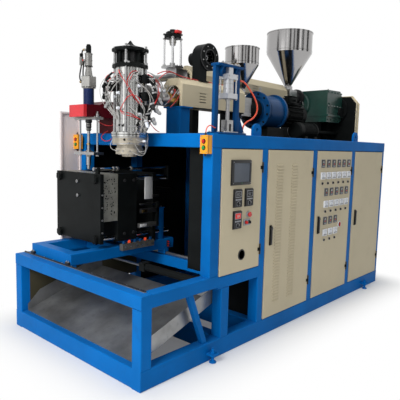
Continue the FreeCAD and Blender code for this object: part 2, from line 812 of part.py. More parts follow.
def bearing_block(name, x, y):
    """A guide block that hugs its rail with running clearance."""
    top = "low_height - rail_base - 8"
    blank = box(name + "_blank", (x + " - 26", y, "rail_base + 8"), ("52", "100", top))
    groove = box(name + "_groove", (x + " - rail_width / 2 - play", y + " - 1", "rail_base"),
                 ("rail_width + 2 * play", "102", "rail_height + play"))
    return cut(name, blank, [groove])


def carriage():
    bars = []
    for name, y in (("carriage_near", CARRIAGE_Y),
                    ("carriage_far", "station_y + carriage_width / 2 - tube")):
        bars.append(beam(name, ("carriage_front", y, "low_height"),
                         ("carriage_length", "tube", "tube"), "X"))
    inner = "carriage_width - 2 * tube"
    for i, x in enumerate(("carriage_front", "carriage_front + 520",
                           "carriage_front + carriage_length - tube")):
        bars.append(beam("carriage_cross_%d" % i, (x, CARRIAGE_Y + " + tube", "low_height"),
                         ("tube", inner, "tube"), "Y"))
    for i, x in enumerate(("front_rail_x", "rear_rail_x")):
        for j, y in enumerate((CARRIAGE_Y, "station_y + carriage_width / 2 - tube")):
            bars.append(bearing_block("block_%d_%d" % (i, j), x, y))
    node("carriage", bars)
    manifold = box("manifold_bar", ("carriage_front + 505", CARRIAGE_Y + " - 45",
                                "low_height + 65"), ("380", "45", "60"))
    ports = []
    for i in range(6):
        ports.append(rod("port_%d" % i, ("carriage_front + %d" % (535 + 64 * i),
                                         CARRIAGE_Y + " - 22", "low_height + 115"), "9", "20"))
    node("water_manifold", [cut("manifold", manifold, ports)])


def shuttle_drive():
    x = "shuttle_cylinder_x"
    z = "shuttle_cylinder_z"
    r = "shuttle_cylinder_radius"
    start = "tube + 5"
    body = fuse("shuttle_barrel_blank", [
        rod("shuttle_barrel", (x, start, z), r, "700", "Y"),
        box("shuttle_rear_cap", (x + " - 38", "tube", z + " - 38"), ("76", "60", "76")),
        box("shuttle_front_cap", (x + " - 38", "tube + 640", z + " - 38"), ("76", "65", "76")),
    ])
    bore = rod("shuttle_bore", (x, "tube + 40", z), "12 + shaft_play", "700", "Y")
    node("shuttle_cylinder", [cut("shuttle_cylinder_body", body, [bore])])
    shaft = rod("shuttle_shaft", (x, "tube + 640", z), "12", "station_y - tube - 570", "Y")
    horn = box("shuttle_horn", (x + " - 30", "station_y + 60", z + " - 30"),
               ("60", "40", "low_height - (%s) + 30" % z))
    node("shuttle_rod", [fuse("shuttle_rod_piece", [shaft, horn])])


# ---------------------------------------------------------------- clamp and mould

FRONT_OF_MOULD = "station_x - mould_half"
BACK_OF_MOULD = "station_x + mould_half"
TIE_PLACES = [("station_y - tie_bar_span / 2", "tie_bar_low"),
              ("station_y + tie_bar_span / 2", "tie_bar_low"),
              ("station_y - tie_bar_span / 2", "tie_bar_high"),
              ("station_y + tie_bar_span / 2", "tie_bar_high")]


def cavity_tool(name):
    """The bottle shape with its neck, turned about the parting line."""
    profile = [
        ("0", "cavity_bottom"),
        ("cavity_radius - 14", "cavity_bottom"),
        ("cavity_radius", "cavity_bottom + 14"),
        ("cavity_radius", "cavity_bottom + cavity_body"),
        ("neck_radius", "cavity_bottom + cavity_body + mould_height / 6"),
        ("neck_radius", "mould_top + 5"),
        ("0", "mould_top + 5"),
    ]
    return turned(name, profile, ("station_x", "station_y", "0"))


def mould_half(label, x):
    block = box(label + "_block", (x, "station_y - mould_width / 2", "mould_bottom"),
                ("mould_half - play / 2", "mould_width", "mould_top - mould_bottom"))
    tools = [cavity_tool(label + "_cavity")]
    low, high = "mould_bottom + 60", "mould_top - 60"
    for i, (dy, z) in enumerate([(-250, low), (-250, high), (250, low), (250, high)]):
        tools.append(rod("%s_bolt_bore_%d" % (label, i), (x + " - 5", "station_y + %d" % dy, z),
                         "11", "mould_half + 10", "X"))
    tools += tie_bores(label, x + " - 5", "mould_half + 10", "shaft_play")
    node(label, [cut(label + "_half", block, tools)])


def platen_outline(name, x, width, thick):
    """A plate with round bosses at its four corners."""
    plate = box(name + "_plate", (x, "station_y - (%s) / 2" % width, "platen_bottom + 10"),
                (thick, width, "mould_top - platen_bottom - 10"))
    bosses = []
    for i, (y, z) in enumerate(TIE_PLACES):
        bosses.append(rod("%s_boss_%d" % (name, i), (x, y, z), "tie_bar_boss", thick, "X"))
    return [plate, *bosses]


def tie_bores(name, x, length, play):
    return [rod("%s_tie_bore_%d" % (name, i), (x, y, z), "tie_bar_radius + " + play, length, "X")
            for i, (y, z) in enumerate(TIE_PLACES)]


def front_platen():
    x = FRONT_OF_MOULD + " - front_platen_thick"
    blank = fuse("front_platen_blank",
                 platen_outline("front_platen", x, "front_platen_width", "front_platen_thick"))
    node("front_platen", [cut("front_platen_piece", blank,
                              tie_bores("front_platen", x + " - 5", "front_platen_thick + 10",
                                        "0"))])
    bars = []
    reach = "clamp_plate_x + clamp_plate_thick + 200 - (%s)" % x
    for i, (y, z) in enumerate(TIE_PLACES):
        shaft = rod("tie_shaft_%d" % i, (x + " - 30", y, z), "tie_bar_radius", reach + " + 30",
                    "X")
        nut = hexagon("tie_nut_%d" % i, (x + " - 25", y, z), "40", "25", "X")
        bars.append(fuse("tie_bar_%d" % i, [shaft, nut]))
    node("tie_bars", bars)


def moving_platen():
    """A ribbed casting: face plate, side walls, bar bosses and the ram's seat."""
    x = BACK_OF_MOULD
    y_near = "station_y - platen_width / 2"
    height = "mould_top - platen_bottom - 10"
    pieces = platen_outline("moving_platen", x, "platen_width", "moving_platen_thick")
    for i, (y, z) in enumerate(TIE_PLACES):
        pieces.append(rod("moving_sleeve_%d" % i, (x, y, z), "tie_bar_boss", "moving_platen_depth",
                          "X"))
    for name, y in (("near", y_near), ("far", "station_y + platen_width / 2 - 25")):
        pieces.append(box("moving_%s_wall" % name, (x, y, "platen_bottom + 10"),
                          ("moving_platen_depth", "25", height)))
    pieces.append(box("ram_seat", (x, "station_y - 90", "ram_height - 90"),
                      ("moving_platen_depth", "180", "180")))
    for name, z in (("low", "ram_height - 150"), ("high", "ram_height + 130")):
        pieces.append(box("moving_%s_rib" % name, (x, y_near, z),
                          ("moving_platen_depth - 40", "platen_width", "20")))
    blank = fuse("moving_platen_blank", pieces)
    bores = tie_bores("moving_platen", x + " - 5", "moving_platen_depth + 10", "shaft_play")
    node("moving_platen", [cut("moving_platen_piece", blank, bores)])
    ram_x = x + " + moving_platen_depth"
    node("clamp_ram", [rod("ram", (ram_x, "station_y", "ram_height"), "ram_radius",
                           "clamp_plate_x + clamp_plate_thick + 200 - (%s)" % ram_x, "X")])


def clamp_cylinder():
    x = "clamp_plate_x"
    blank = fuse("clamp_plate_blank",
                 platen_outline("clamp_plate", x, "platen_width", "clamp_plate_thick")
                 + [box("clamp_plate_foot", (x, "station_y - platen_width / 2",
                                             "low_height + tube"),
                        ("clamp_plate_thick", "platen_width", "platen_bottom - low_height"
                         " - tube + 20"))])
    barrel_x = "clamp_plate_x + clamp_plate_thick"
    barrel = rod("clamp_barrel", (barrel_x, "station_y", "ram_height"), "ram_cylinder_radius",
                 "ram_cylinder_length", "X")
    caps = []
    for name, cap_x in (("front", barrel_x), ("rear", barrel_x + " + ram_cylinder_length - 50")):
        caps.append(box("clamp_%s_cap" % name, (cap_x, "station_y - 130", "ram_height - 130"),
                        ("50", "260", "260")))
    stays = []
    for i, (dy, dz) in enumerate([(-105, -105), (105, -105), (-105, 105), (105, 105)]):
        stays.append(rod("clamp_stay_%d" % i, (barrel_x, "station_y + %d" % dy,
                                               "ram_height + %d" % dz), "12",
                         "ram_cylinder_length + 25", "X"))
    whole = fuse("clamp_cylinder_blank", [blank, barrel, *caps, *stays])
    bore = rod("ram_bore", ("clamp_plate_x - 5", "station_y", "ram_height"),
               "ram_radius + shaft_play", "ram_cylinder_length", "X")
    bores = tie_bores("clamp_plate", x + " - 5", "clamp_plate_thick + 10", "shaft_play")
    node("clamp_cylinder", [cut("clamp_cylinder_piece", whole, [bore, *bores])])


# ---------------------------------------------------------------- die head

DIE = ("station_x", "die_y", "0")


def die_head():
    body = turned("die_body", [
        ("0", "die_body_bottom - die_flange_thick"),
        ("die_flange_radius", "die_body_bottom - die_flange_thick"),
        ("die_flange_radius", "die_body_bottom"),
        ("die_radius", "die_body_bottom"),
        ("die_radius", "die_body_top - 70"),
        ("die_radius + 4", "die_body_top - 60"),
        ("die_radius + 4", "die_body_top"),
        ("0", "die_body_top"),
    ], DIE)
    node("die_head", [body])
    low = "die_body_bottom - die_flange_thick - 67"
    band = turned("heater_band", [
        ("0", low), ("142", low), ("142", low + " + 67"), ("0", low + " + 67"),
    ], DIE)
    ring = turned("die_ring_blank", [
        ("0", low + " - 95"), ("30", low + " - 95"), ("30", low + " - 60"),
        ("34", low + " - 60"), ("34", low + " - 95"), ("60", low + " - 95"),
        ("66", low + " - 75"), ("113", low + " - 75"), ("113", low + " - 25"),
        ("104", low + " - 25"), ("104", low), ("0", low),
    ], DIE)
    node("die_rings", [band, ring])


def die_crown():
    """The dark cage that holds the die head's upper tie rods, with windows all round."""
    top = "die_body_top"
    shell = turned("crown_shell", [
        ("0", top), ("146", top), ("146", top + " + 30"), ("113", top + " + 42"),
        ("113", top + " + 125"), ("150", top + " + 138"), ("150", top + " + 156"),
        ("78", top + " + 172"), ("40", top + " + 184"), ("22", top + " + 200"),
        ("10", top + " + 222"), ("0", top + " + 222"),
    ], DIE)
    windows = []
    for i in range(6):
        window = doc.addObject("Part::Box", "crown_window_%d" % i)
        window.Length = 60
        window.Width = 44
        window.Height = 58
        angle = 60 * i + 30
        reach = Rotation(Vector(0, 0, 1), angle).multVec(Vector(88, -22, 0))
        put(window, ("station_x + %f" % reach.x, "die_y + %f" % reach.y, top + " + 54"),
            Rotation(Vector(0, 0, 1), angle))
        windows.append(window)
    bores = []
    rods = []
    for i in range(4):
        angle = math.radians(45 + 90 * i - 9)
        place = ("station_x + die_rod_circle * %f" % math.cos(angle),
                 "die_y + die_rod_circle * %f" % math.sin(angle))
        rods.append(rod("die_rod_%d" % i, (*place, "die_body_bottom"), "die_rod_radius",
                        "die_body_top - die_body_bottom + 175"))
        rods.append(hexagon("die_rod_nut_%d" % i, (*place, top + " + 30"), "17", "16"))
        bores.append(rod("crown_bore_%d" % i, (*place, top + " - 5"), "die_rod_radius", "200"))
    stays = []
    for i in range(4):
        stays.append(fuse("die_stay_%d" % i, [rods[2 * i], rods[2 * i + 1]]))
    nut_room = [rod("nut_room_%d" % i, (
        "station_x + die_rod_circle * %f" % math.cos(math.radians(36 + 90 * i)),
        "die_y + die_rod_circle * %f" % math.sin(math.radians(36 + 90 * i)),
        top + " + 30"), "18", "16") for i in range(4)]
    node("die_crown", [cut("crown_piece", shell, [*windows, *bores, *nut_room])])
    node("die_stays", stays)


# ---------------------------------------------------------------- blow pin station

def blow_station():
    y = "station_y - arm_width / 2"
    post_x = "portal_front + 5"
    side = [
        ("-130", "arm_bottom"), ("%s + 70 - station_x" % post_x, "arm_bottom"),
        ("%s + 70 - station_x" % post_x, "arm_bottom + 145"),
        ("120", "arm_bottom + 150"), ("40", "arm_bottom + 112"), ("-130", "arm_bottom + 105"),
    ]
    arm = slab("arm_beam", "XZ", side, "arm_width", ("station_x", y, "0"))
    column = box("arm_column", (post_x, y, "deck_height"),
                 ("70", "arm_width", "arm_bottom - deck_height"))
    bore = rod("arm_bore", ("station_x", "station_y", "arm_bottom - 5"), "blow_radius", "170")
    guide_bores = [rod("arm_guide_bore_%d" % i,
                       ("station_x", "station_y + %d * guide_span / 2" % s, "arm_bottom - 5"),
                       "guide_radius + 4", "170") for i, s in enumerate((-1, 1))]
    node("blow_arm", [cut("arm_piece", fuse("arm_blank", [arm, column]), [bore, *guide_bores])])

    barrel = turned("blow_barrel", [
        ("0", "arm_bottom"), ("blow_radius", "arm_bottom"), ("blow_radius", "collar_z"),
        ("36", "collar_z"), ("36", "collar_z + 95"), ("24", "collar_z + 178"),
        ("32", "collar_z + 178"), ("32", "collar_z + 295"), ("23", "collar_z + 303"),
        ("23", "collar_z + 355"), ("16", "collar_z + 374"), ("0", "collar_z + 374"),
    ], ("station_x", "station_y", "0"))
    collar = hexagon("blow_collar", ("station_x", "station_y", "collar_z"), "72", "88")
    plate = box("guide_plate", ("station_x - 45", "station_y - 160", "arm_bottom - 20"),
                ("90", "320", "20"))
    tools = [rod("piston_bore", ("station_x", "station_y", "arm_bottom - 25"),
                 "14 + shaft_play", "270")]
    for i, s in enumerate((-1, 1)):
        tools.append(rod("guide_bore_%d" % i,
                         ("station_x", "station_y + %d * guide_span / 2" % s, "arm_bottom - 25"),
                         "guide_radius + shaft_play", "40"))
    node("blow_cylinder", [cut("blow_cylinder_piece",
                               fuse("blow_cylinder_blank", [barrel, collar, plate]), tools)])

    pin_top = "pin_plate_z + pin_plate_thick"
    pin = fuse("blow_pin_piece", [
        rod("pin_piston", ("station_x", "station_y", "pin_plate_z"), "nose_radius",
            "arm_bottom + 120 - pin_plate_z"),
        turned("pin_nose", [
            ("0", "pin_tip"), ("nose_radius - 5", "pin_tip"), ("nose_radius", "pin_tip + 8"),
            ("nose_radius", "pin_tip + nose_length"), ("pin_radius", "pin_tip + nose_length + 4"),
            ("pin_radius", "pin_plate_z"), ("0", "pin_plate_z"),
        ], ("station_x", "station_y", "0")),
    ])
    yoke = [box("pin_plate", ("station_x - 55", "station_y - 155", "pin_plate_z"),
                ("110", "310", "pin_plate_thick"))]
    for i, s in enumerate((-1, 1)):
        yoke.append(rod("pin_guide_%d" % i,
                        ("station_x", "station_y + %d * guide_span / 2" % s, pin_top),
                        "guide_radius", "arm_bottom + 50 - (%s)" % pin_top))
    pin_hole = rod("pin_plate_bore", ("station_x", "station_y", "pin_plate_z - 5"),
                   "nose_radius + shaft_play", "pin_plate_thick + 10")
    node("blow_pin", [pin, cut("pin_yoke", fuse("pin_yoke_blank", yoke), [pin_hole])])


def side_guard():
    """The sheet guard beside the far portal post, standing on the low frame."""
    start = "portal_front - 230"
    height = "deck_height + 200 - low_height"
    y = "frame_width - 32"
    skin = box("guard_skin", (start, "frame_width - 16", "low_height"), ("230", "4", height))
    rails = [
        box("guard_front_rail", (start, y, "low_height"), ("16", "16", height)),
        box("guard_rear_rail", ("portal_front - 16", y, "low_height"), ("16", "16", height)),
        box("guard_top_rail", (start, y, "deck_height + 184"), ("230", "16", "16")),
    ]
    return fuse("guard_piece", [skin, *rails])


# ---------------------------------------------------------------- lift cylinder

def lift_unit():
    top = "lift_top"
    plates = []
    for name, x in (("front", "lift_x - 155"), ("rear", "lift_x + 95")):
        plates.append(box("lift_%s_column" % name, (x, "10", "deck_height + 14"),
                          ("60", "100", top + " - deck_height - 14")))
    plates.append(box("lift_base", ("lift_x - 175", "0", "deck_height"), ("350", "120", "14")))
    crown = box("lift_crown_blank", ("lift_x - 155", "10", top), ("310", "100", "22"))
    slots = [box("lift_slot_%d" % i, ("lift_x + %d" % x, "35", top + " - 1"), ("60", "20", "30"))
             for i, x in enumerate((-90, 30))]
    gusset = [("0", "0"), ("115", "0"), ("0", "85")]
    plates.append(slab("lift_gusset", "XZ", gusset, "12", ("lift_x + 175", "54", "deck_height")))
    frame = fuse("lift_frame_blank", [*plates, cut("lift_crown", crown, slots)])
    node("lift_bracket", [frame])

    barrel = rod("lift_barrel", ("lift_x", "lift_y", top + " - 240"), "40", "135")
    caps = [box("lift_%s_cap" % name, ("lift_x - 60", "lift_y - 48", top + " - %d" % drop),
                ("120", "96", "40")) for name, drop in (("low", 267), ("high", 120))]
    stays = [rod("lift_stay_%d" % i, ("lift_x + %d" % x, "lift_y + %d" % y, top + " - 267"), "6",
                 "180") for i, (x, y) in enumerate([(-50, -38), (50, -38), (-50, 38), (50, 38)])]
    hanger = box("lift_hanger", ("lift_x - 25", "lift_y - 25", top + " - 80"), ("50", "50", "80"))
    bore = rod("lift_bore", ("lift_x", "lift_y", top + " - 275"), "lift_rod_radius + shaft_play",
               "140")
    node("lift_cylinder", [cut("lift_cylinder_piece",
                               fuse("lift_cylinder_blank", [barrel, *caps, *stays, hanger]),
                               [bore])])

    shaft = rod("lift_shaft", ("lift_x", "lift_y", top + " - 445"), "lift_rod_radius", "225")
    fork_z = top + " - 523"
    fork = box("lift_fork_blank", ("lift_x - 38", "lift_y - 30", fork_z), ("76", "60", "90"))
    slot = box("lift_fork_slot", ("lift_x - 13", "lift_y - 31", fork_z + " - 1"),
               ("26", "62", "60"))
    pin = rod("lift_fork_pin", ("lift_x - 46", "lift_y", fork_z + " + 28"), "10", "92", "X")
    node("lift_rod", [fuse("lift_rod_piece", [shaft, cut("lift_fork", fork, [slot]), pin])])


# ---------------------------------------------------------------- extruders

def extruder_supports():
    """The uprights, saddles and pedestals that carry both extruders on the deck."""
    floor = "deck_height + deck_plate"
    stands = [box("deck_sheet", ("portal_front + 80", "tube + 20", "deck_height"),
                  ("frame_length - portal_front - 110", BETWEEN + " - 40", "deck_plate"))]
    saddle_z = "small_axis_z - small_barrel_radius"
    for i, x in enumerate(("small_cover_front + 10", "small_hopper_x - 225")):
        name = "small_upright_%d" % i
        post = box(name + "_post", (x, "die_y - 90", floor),
                   ("120", "180", saddle_z + " - 12 - (%s)" % floor))
        plate = box(name + "_plate", (x + " - 8", "die_y - small_cover_width / 2",
                                      saddle_z + " - 12"), ("136", "small_cover_width", "12"))
        stands.append(fuse(name, [post, plate]))
    pedestal = box("small_pedestal", ("small_hopper_x + 355", "die_y - 110", floor),
                   ("330", "220", "small_axis_z - small_gear_radius - (%s)" % floor))
    stands.append(pedestal)
    under = "main_axis_z - main_barrel_radius"
    for i, x in enumerate(("main_cover_front + 39", "main_cover_front + main_cover_length - 281")):
        name = "main_upright_%d" % i
        post = box(name + "_post", (x, "main_y - 70", floor),
                   ("90", "80", under + " - 16 - (%s)" % floor))
        saddle = box(name + "_saddle", (x + " - 10", "main_y - 88", under + " - 16"),
                     ("110", "176", "16"))
        stands.append(fuse(name, [post, saddle]))
    for i, x in enumerate(("gearbox_front + 15", "gearbox_front + gearbox_length - 125")):
        stands.append(box("gearbox_pedestal_%d" % i, (x, "gearbox_near + 130", floor),
                          ("100", "gearbox_width - 170", "gearbox_bottom - (%s)" % floor)))
    node("extruder_deck", stands)


def cover_louvres(name, x, y, z):
    """Four slots one above another, through a cover's near wall."""
    return [box("%s_louvre_%d" % (name, i), (x, y + " - 20", "%s + %d" % (z, 26 * i)),
                ("95", "40", "7")) for i in range(4)]


def small_cover():
    """A folded house-shaped cover, open below, with an arched front and four louvres."""
    half = "small_cover_width / 2"
    low = "small_axis_z - small_barrel_radius"

    def house(inset, foot):
        wall = "%s - %s" % (half, inset)
        top = "small_cover_top - " + inset
        return [("-(%s)" % wall, foot), (wall, foot), (wall, top + " - 55"),
                ("%s - 55" % wall, top), ("-(%s) + 55" % wall, top),
                ("-(%s)" % wall, top + " - 55")]

    outer = slab("small_cover_outer", "YZ", house("0", low), "small_cover_length",
                 ("small_cover_front", "die_y", "0"))
    inner = slab("small_cover_inner", "YZ", house("sheet", low + " - 20"),
                 "small_cover_length - 2 * sheet", ("small_cover_front + sheet", "die_y", "0"))
    arch = fuse("small_arch", [
        rod("small_arch_round", ("small_cover_front - 20", "die_y", "small_axis_z + 43"), "88",
            "small_cover_length + 40", "X"),
        box("small_arch_foot", ("small_cover_front - 20", "die_y - 88", low + " - 20"),
            ("small_cover_length + 40", "176", "small_axis_z + 63 - (%s)" % low)),
    ])
    slots = cover_louvres("small_cover", "small_cover_front + 225", "die_y - %s" % half,
                          "small_axis_z - 7")
    return cut("small_cover", outer, [fuse("small_cover_room", [inner, arch, *slots])])


def main_cover():
    low = "main_axis_z - main_barrel_radius"

    def house(inset, foot):
        wall = "85 - " + inset
        top = "main_axis_z + 125 - " + inset
        return [("-(%s)" % wall, foot), (wall, foot), (wall, top + " - 75"),
                ("%s - 65" % wall, top), ("-(%s) + 65" % wall, top),
                ("-(%s)" % wall, top + " - 75")]

    outer = slab("main_cover_outer", "YZ", house("0", low), "main_cover_length",
                 ("main_cover_front", "main_y", "0"))
    inner = slab("main_cover_inner", "YZ", house("sheet", low + " - 20"),
                 "main_cover_length - 2 * sheet", ("main_cover_front + sheet", "main_y", "0"))
    ends = rod("main_cover_ends", ("main_cover_front - 20", "main_y", "main_axis_z"),
               "main_barrel_radius + 12", "main_cover_length + 45", "X")
    foot = box("main_cover_foot",
               ("main_cover_front - 20", "main_y - main_barrel_radius - 12", low + " - 20"),
               ("main_cover_length + 45", "2 * main_barrel_radius + 24",
                "main_barrel_radius + 20"))
    slots = cover_louvres("main_cover", "main_cover_front + 1000", "main_y - 85",
                          "main_axis_z - 45")
    return cut("main_cover", outer, [fuse("main_cover_room", [inner, ends, foot, *slots])])


def feed_throat(name, x, y, z, blank, barrel_radius, barrel_end, feed_radius):
    """The block round a barrel under its hopper, with the hole that the granules fall through."""
    seat = rod(name + "_barrel_seat", (x + " - 200", y, z), barrel_radius + " + shaft_play",
               "%s + 200 - (%s)" % (barrel_end, x), "X")
    drop = rod(name + "_throat_hole", (x, y, z), feed_radius, "250")
    return cut(name + "_throat", fuse(name + "_throat_blank", blank), [seat, drop])


def barrels():
    """Both barrels with their front flanges, feed throats and the pipe into the die head."""
    y = "die_y"
    z = "small_axis_z"
    small = fuse("small_barrel_blank", [
        rod("small_barrel_pipe", ("station_x", y, z), "small_barrel_radius",
            "small_hopper_x + 35 - station_x", "X"),
        rod("small_adapter", ("station_x", y, z), "62", "205", "X"),
        rod("small_flange", ("station_x + 165", y, z), "98", "40", "X"),
    ])
    die_room = rod("die_room_small", ("station_x", "die_y", "die_body_bottom"),
                   "die_radius + play", "500")
    small_barrel = cut("small_barrel", small, [
        die_room, rod("small_feed_hole", ("small_hopper_x", y, z), "30", "250")])
    small_throat = feed_throat("small", "small_hopper_x", y, z, [
        box("small_throat_block", ("small_hopper_x - 80", "die_y - 80", z + " - 80"),
            ("165", "160", "190")),
        rod("small_throat_neck", ("small_hopper_x", y, z + " + 100"), "42", "83"),
    ], "small_barrel_radius", "small_hopper_x + 35", "30")

    my = "main_y"
    mz = "main_axis_z"
    link = doc.addObject("Part::Cylinder", "main_link")
    bind(link, "Radius", "32")
    start = Vector(value("station_x"), value("die_y"), value("main_axis_z - 140"))
    end = Vector(value("main_head_x + 75"), value("main_y"), value("main_axis_z"))
    link.Height = (end - start).Length
    put(link, ("station_x", "die_y", "main_axis_z - 140"),
        Rotation(Vector(0, 0, 1), end - start))
    main = fuse("main_barrel_blank", [
        rod("main_barrel_pipe", ("main_head_x + 86", my, mz), "main_barrel_radius",
            "gearbox_front - 116 - main_head_x", "X"),
        box("main_head_block", ("main_head_x", "main_y - 70", mz + " - 50"),
            ("150", "140", "120")),
        rod("main_bearing_tube", ("gearbox_front - 160", my, mz), "72", "110", "X"),
        rod("main_shiny_flange", ("gearbox_front - 64", my, mz), "112", "34", "X"),
        link,
    ])
    die_room_main = rod("die_room_main", ("station_x", "die_y", "die_body_bottom"),
                        "die_radius + 4 + play", "500")
    main_barrel = cut("main_barrel", main, [
        die_room_main, rod("main_feed_hole", ("main_hopper_x", my, mz), "38", "200")])
    main_throat = feed_throat("main", "main_hopper_x", my, mz, [
        box("main_throat_block", ("main_hopper_x - 85", "main_y - 85", mz + " - 85"),
            ("170", "170", "165")),
        rod("main_throat_neck", ("main_hopper_x", my, mz + " + 70"), "60", "45"),
    ], "main_barrel_radius", "main_hopper_x + 200", "38")
    node("extruder_barrels", [small_barrel, small_throat, main_barrel, main_throat])
    node("barrel_covers", [small_cover(), main_cover()])


def hopper(label, x, y, foot, rim_radius, neck_radius, cone_height, wall_height):
    """A sheet hopper of three rolled parts: flanged neck, cone, and wall with its rolled rim."""
    skin = "3"
    at = (x, y, foot)
    cone_top = "%s + 12" % cone_height
    rim = "%s + %s" % (cone_top, wall_height)
    inside = "%s - %s" % (rim_radius, skin)
    neck_wall = "%s + %s" % (neck_radius, skin)
    neck = turned(label + "_neck", [
        (neck_radius, "0"), ("%s + 22" % neck_radius, "0"), ("%s + 22" % neck_radius, "10"),
        (neck_wall, "10"), (neck_wall, "14"), (neck_radius, "14"),
    ], at)
    funnel = turned(label + "_cone", [
        (neck_radius, "14"), (neck_wall, "14"), (rim_radius, cone_top),
        (inside, cone_top + " + 1"),
    ], at)
    wall = turned(label + "_wall", [
        (rim_radius, cone_top), (rim_radius, rim), (rim_radius + " + 7", rim),
        (rim_radius + " + 7", rim + " + 9"), (inside, rim + " + 9"), (inside, cone_top + " + 1"),
    ], at)
    node(label, [neck, funnel, wall])


def small_drive():
    """The small extruder's gear motor: coupling housing, round gear unit and finned motor."""
    y = "die_y"
    z = "small_axis_z"
    coupling = turned("coupling_housing", [
        ("0", "0"), ("95", "0"), ("95", "40"), ("125", "60"), ("125", "170"), ("150", "190"),
        ("150", "230"), ("0", "230"),
    ], ("small_hopper_x + 85", y, z), "X")
    gear = turned("gear_case", [
        ("0", "0"), ("small_gear_radius - 20", "0"), ("small_gear_radius", "20"),
        ("small_gear_radius", "330"), ("small_gear_radius - 35", "390"),
        ("small_gear_radius - 60", "420"), ("0", "420"),
    ], ("small_hopper_x + 315", y, z), "X")
    profile = [("0", "0"), ("128", "0"), ("128", "18")]
    fins = 12
    for i in range(fins):
        start = 26 + i * 26
        profile += [("108", "%d" % start), ("120", "%d" % (start + 4)),
                    ("120", "%d" % (start + 12)), ("108", "%d" % (start + 16))]
    profile += [("108", "345"), ("122", "350"), ("122", "440"), ("110", "455"), ("0", "455")]
    motor_x = "small_hopper_x + 735"
    motor = turned("small_motor", profile, (motor_x, y, z), "X")
    terminals = box("terminal_box", (motor_x + " + 60", "die_y - 78", z + " + 100"),
                    ("170", "140", "85"))
    whole = fuse("small_drive_blank", [coupling, gear, motor, terminals])
    flat = box("pedestal_room", ("small_hopper_x + 315", "die_y - 200", "small_axis_z - small_gear_radius - 50"),
               ("420", "400", "50"))
    node("small_drive", [cut("small_drive_piece", whole, [flat])])


def gearbox():
    """The main reducer: a ribbed casting with a round nose, on two feet."""
    length = "gearbox_length"
    side = [("0", "gearbox_bottom"), (length + " - 60", "gearbox_bottom"),
            (length, "gearbox_bottom + 60"), (length, "gearbox_top - 70"),
            (length + " - 60", "gearbox_top"), ("0", "gearbox_top - 10")]
    case = slab("gear_casting", "XZ", side, "gearbox_width", ("gearbox_front", "gearbox_near", "0"))
    pieces = [case]
    for i in range(5):
        pieces.append(box("near_rib_%d" % i, ("gearbox_front + 40", "gearbox_near - 14",
                                              "gearbox_bottom + %d" % (120 + 26 * i)),
                          ("60", "15", "10")))
    pieces.append(box("split_flange", ("gearbox_front - 8", "gearbox_near - 22",
                                      "gearbox_bottom + 70"),
                      (length + " + 8", "gearbox_width + 44", "24")))
    pieces.append(turned("gear_nose", [
        ("0", "0"), ("150", "0"), ("165", "12"), ("165", "30"), ("0", "30"),
    ], ("gearbox_front - 29.5", "main_y - 10", "gearbox_bottom + 220"), "X"))
    pieces.append(rod("bearing_cap", ("gearbox_front + gearbox_length", "pulley_y", "pulley_z"),
                      "70", "5", "X"))
    pieces.append(rod("input_shaft", ("gearbox_front + gearbox_length", "pulley_y", "pulley_z"),
                      "25", "guard_front - gearbox_front - gearbox_length - play", "X"))
    node("main_gearbox", [fuse("gearbox_piece", pieces)])
    pulley_x = "gearbox_front + gearbox_length + 5.3"
    width = "guard_front - (%s) - 0.3" % pulley_x
    rim = "pulley_radius"
    wheel = turned("pulley_blank", [
        ("25 + shaft_play", "0"), ("45", "0"), ("45", "12"), (rim + " - 25", "12"),
        (rim + " - 25", "0"), (rim, "0"), (rim, "8"), (rim + " - 8", "14"), (rim + " - 8", "22"),
        (rim, "28"), (rim, width), (rim + " - 25", width), (rim + " - 25", "26"), ("45", "26"),
        ("45", width), ("25 + shaft_play", width),
    ], (pulley_x, "pulley_y", "pulley_z"), "X")
    holes = []
    for i in range(5):
        angle = math.radians(72 * i)
        holes.append(rod("pulley_hole_%d" % i, (
            pulley_x + " - 5", "pulley_y + 92 * %f" % math.cos(angle),
            "pulley_z + 92 * %f" % math.sin(angle)), "28", "60", "X"))
    node("gearbox_pulley", [cut("pulley_piece", wheel, holes)])


def main_motor():
    z = "deck_height + 116"
    y = "gearbox_near + 80"
    front = "gearbox_front - 620"
    profile = [("0", "0"), ("86", "0"), ("100", "14"), ("100", "90")]
    for i in range(10):
        start = 96 + i * 26
        profile += [("90", "%d" % start), ("101", "%d" % (start + 4)),
                    ("101", "%d" % (start + 12)), ("90", "%d" % (start + 16))]
    profile += [("90", "370"), ("106", "374"), ("106", "400"), ("25", "400"), ("25", "450"),
                ("0", "450")]
    body = turned("main_motor_body", profile, (front, y, z), "X")
    shaft = rod("main_motor_shaft", (front + " + 440", y, z), "24",
                "guard_front - (%s) - 440" % front, "X")
    feet = [box("motor_foot_%d" % i, (x, y + " - 95", "deck_height + deck_plate"),
                ("60", "190", "45"))
            for i, x in enumerate((front + " + 100", front + " + 320"))]
    piece = fuse("main_motor_piece", [body, shaft, *feet])
    node("main_motor", [piece])


def belt_guard():
    """A sheet box over the belt, with its upper corners cut off, at the rear end."""
    foot = "deck_height + deck_plate"
    y = "pulley_y - 280"
    side = [("0", foot), ("560", foot), ("560", "guard_top - 100"), ("470", "guard_top"),
            ("90", "guard_top"), ("0", "guard_top - 100")]
    shell = slab("guard_box", "YZ", side, "frame_length - 30 - guard_front",
                 ("guard_front", y, "0"))
    rim = slab("guard_rim", "YZ", [
        ("-10", foot), ("570", foot), ("570", "guard_top - 96"), ("474", "guard_top + 10"),
        ("86", "guard_top + 10"), ("-10", "guard_top - 96")], "12", ("frame_length - 42", y, "0"))
    node("belt_guard", [fuse("belt_guard_piece", [shell, rim])])


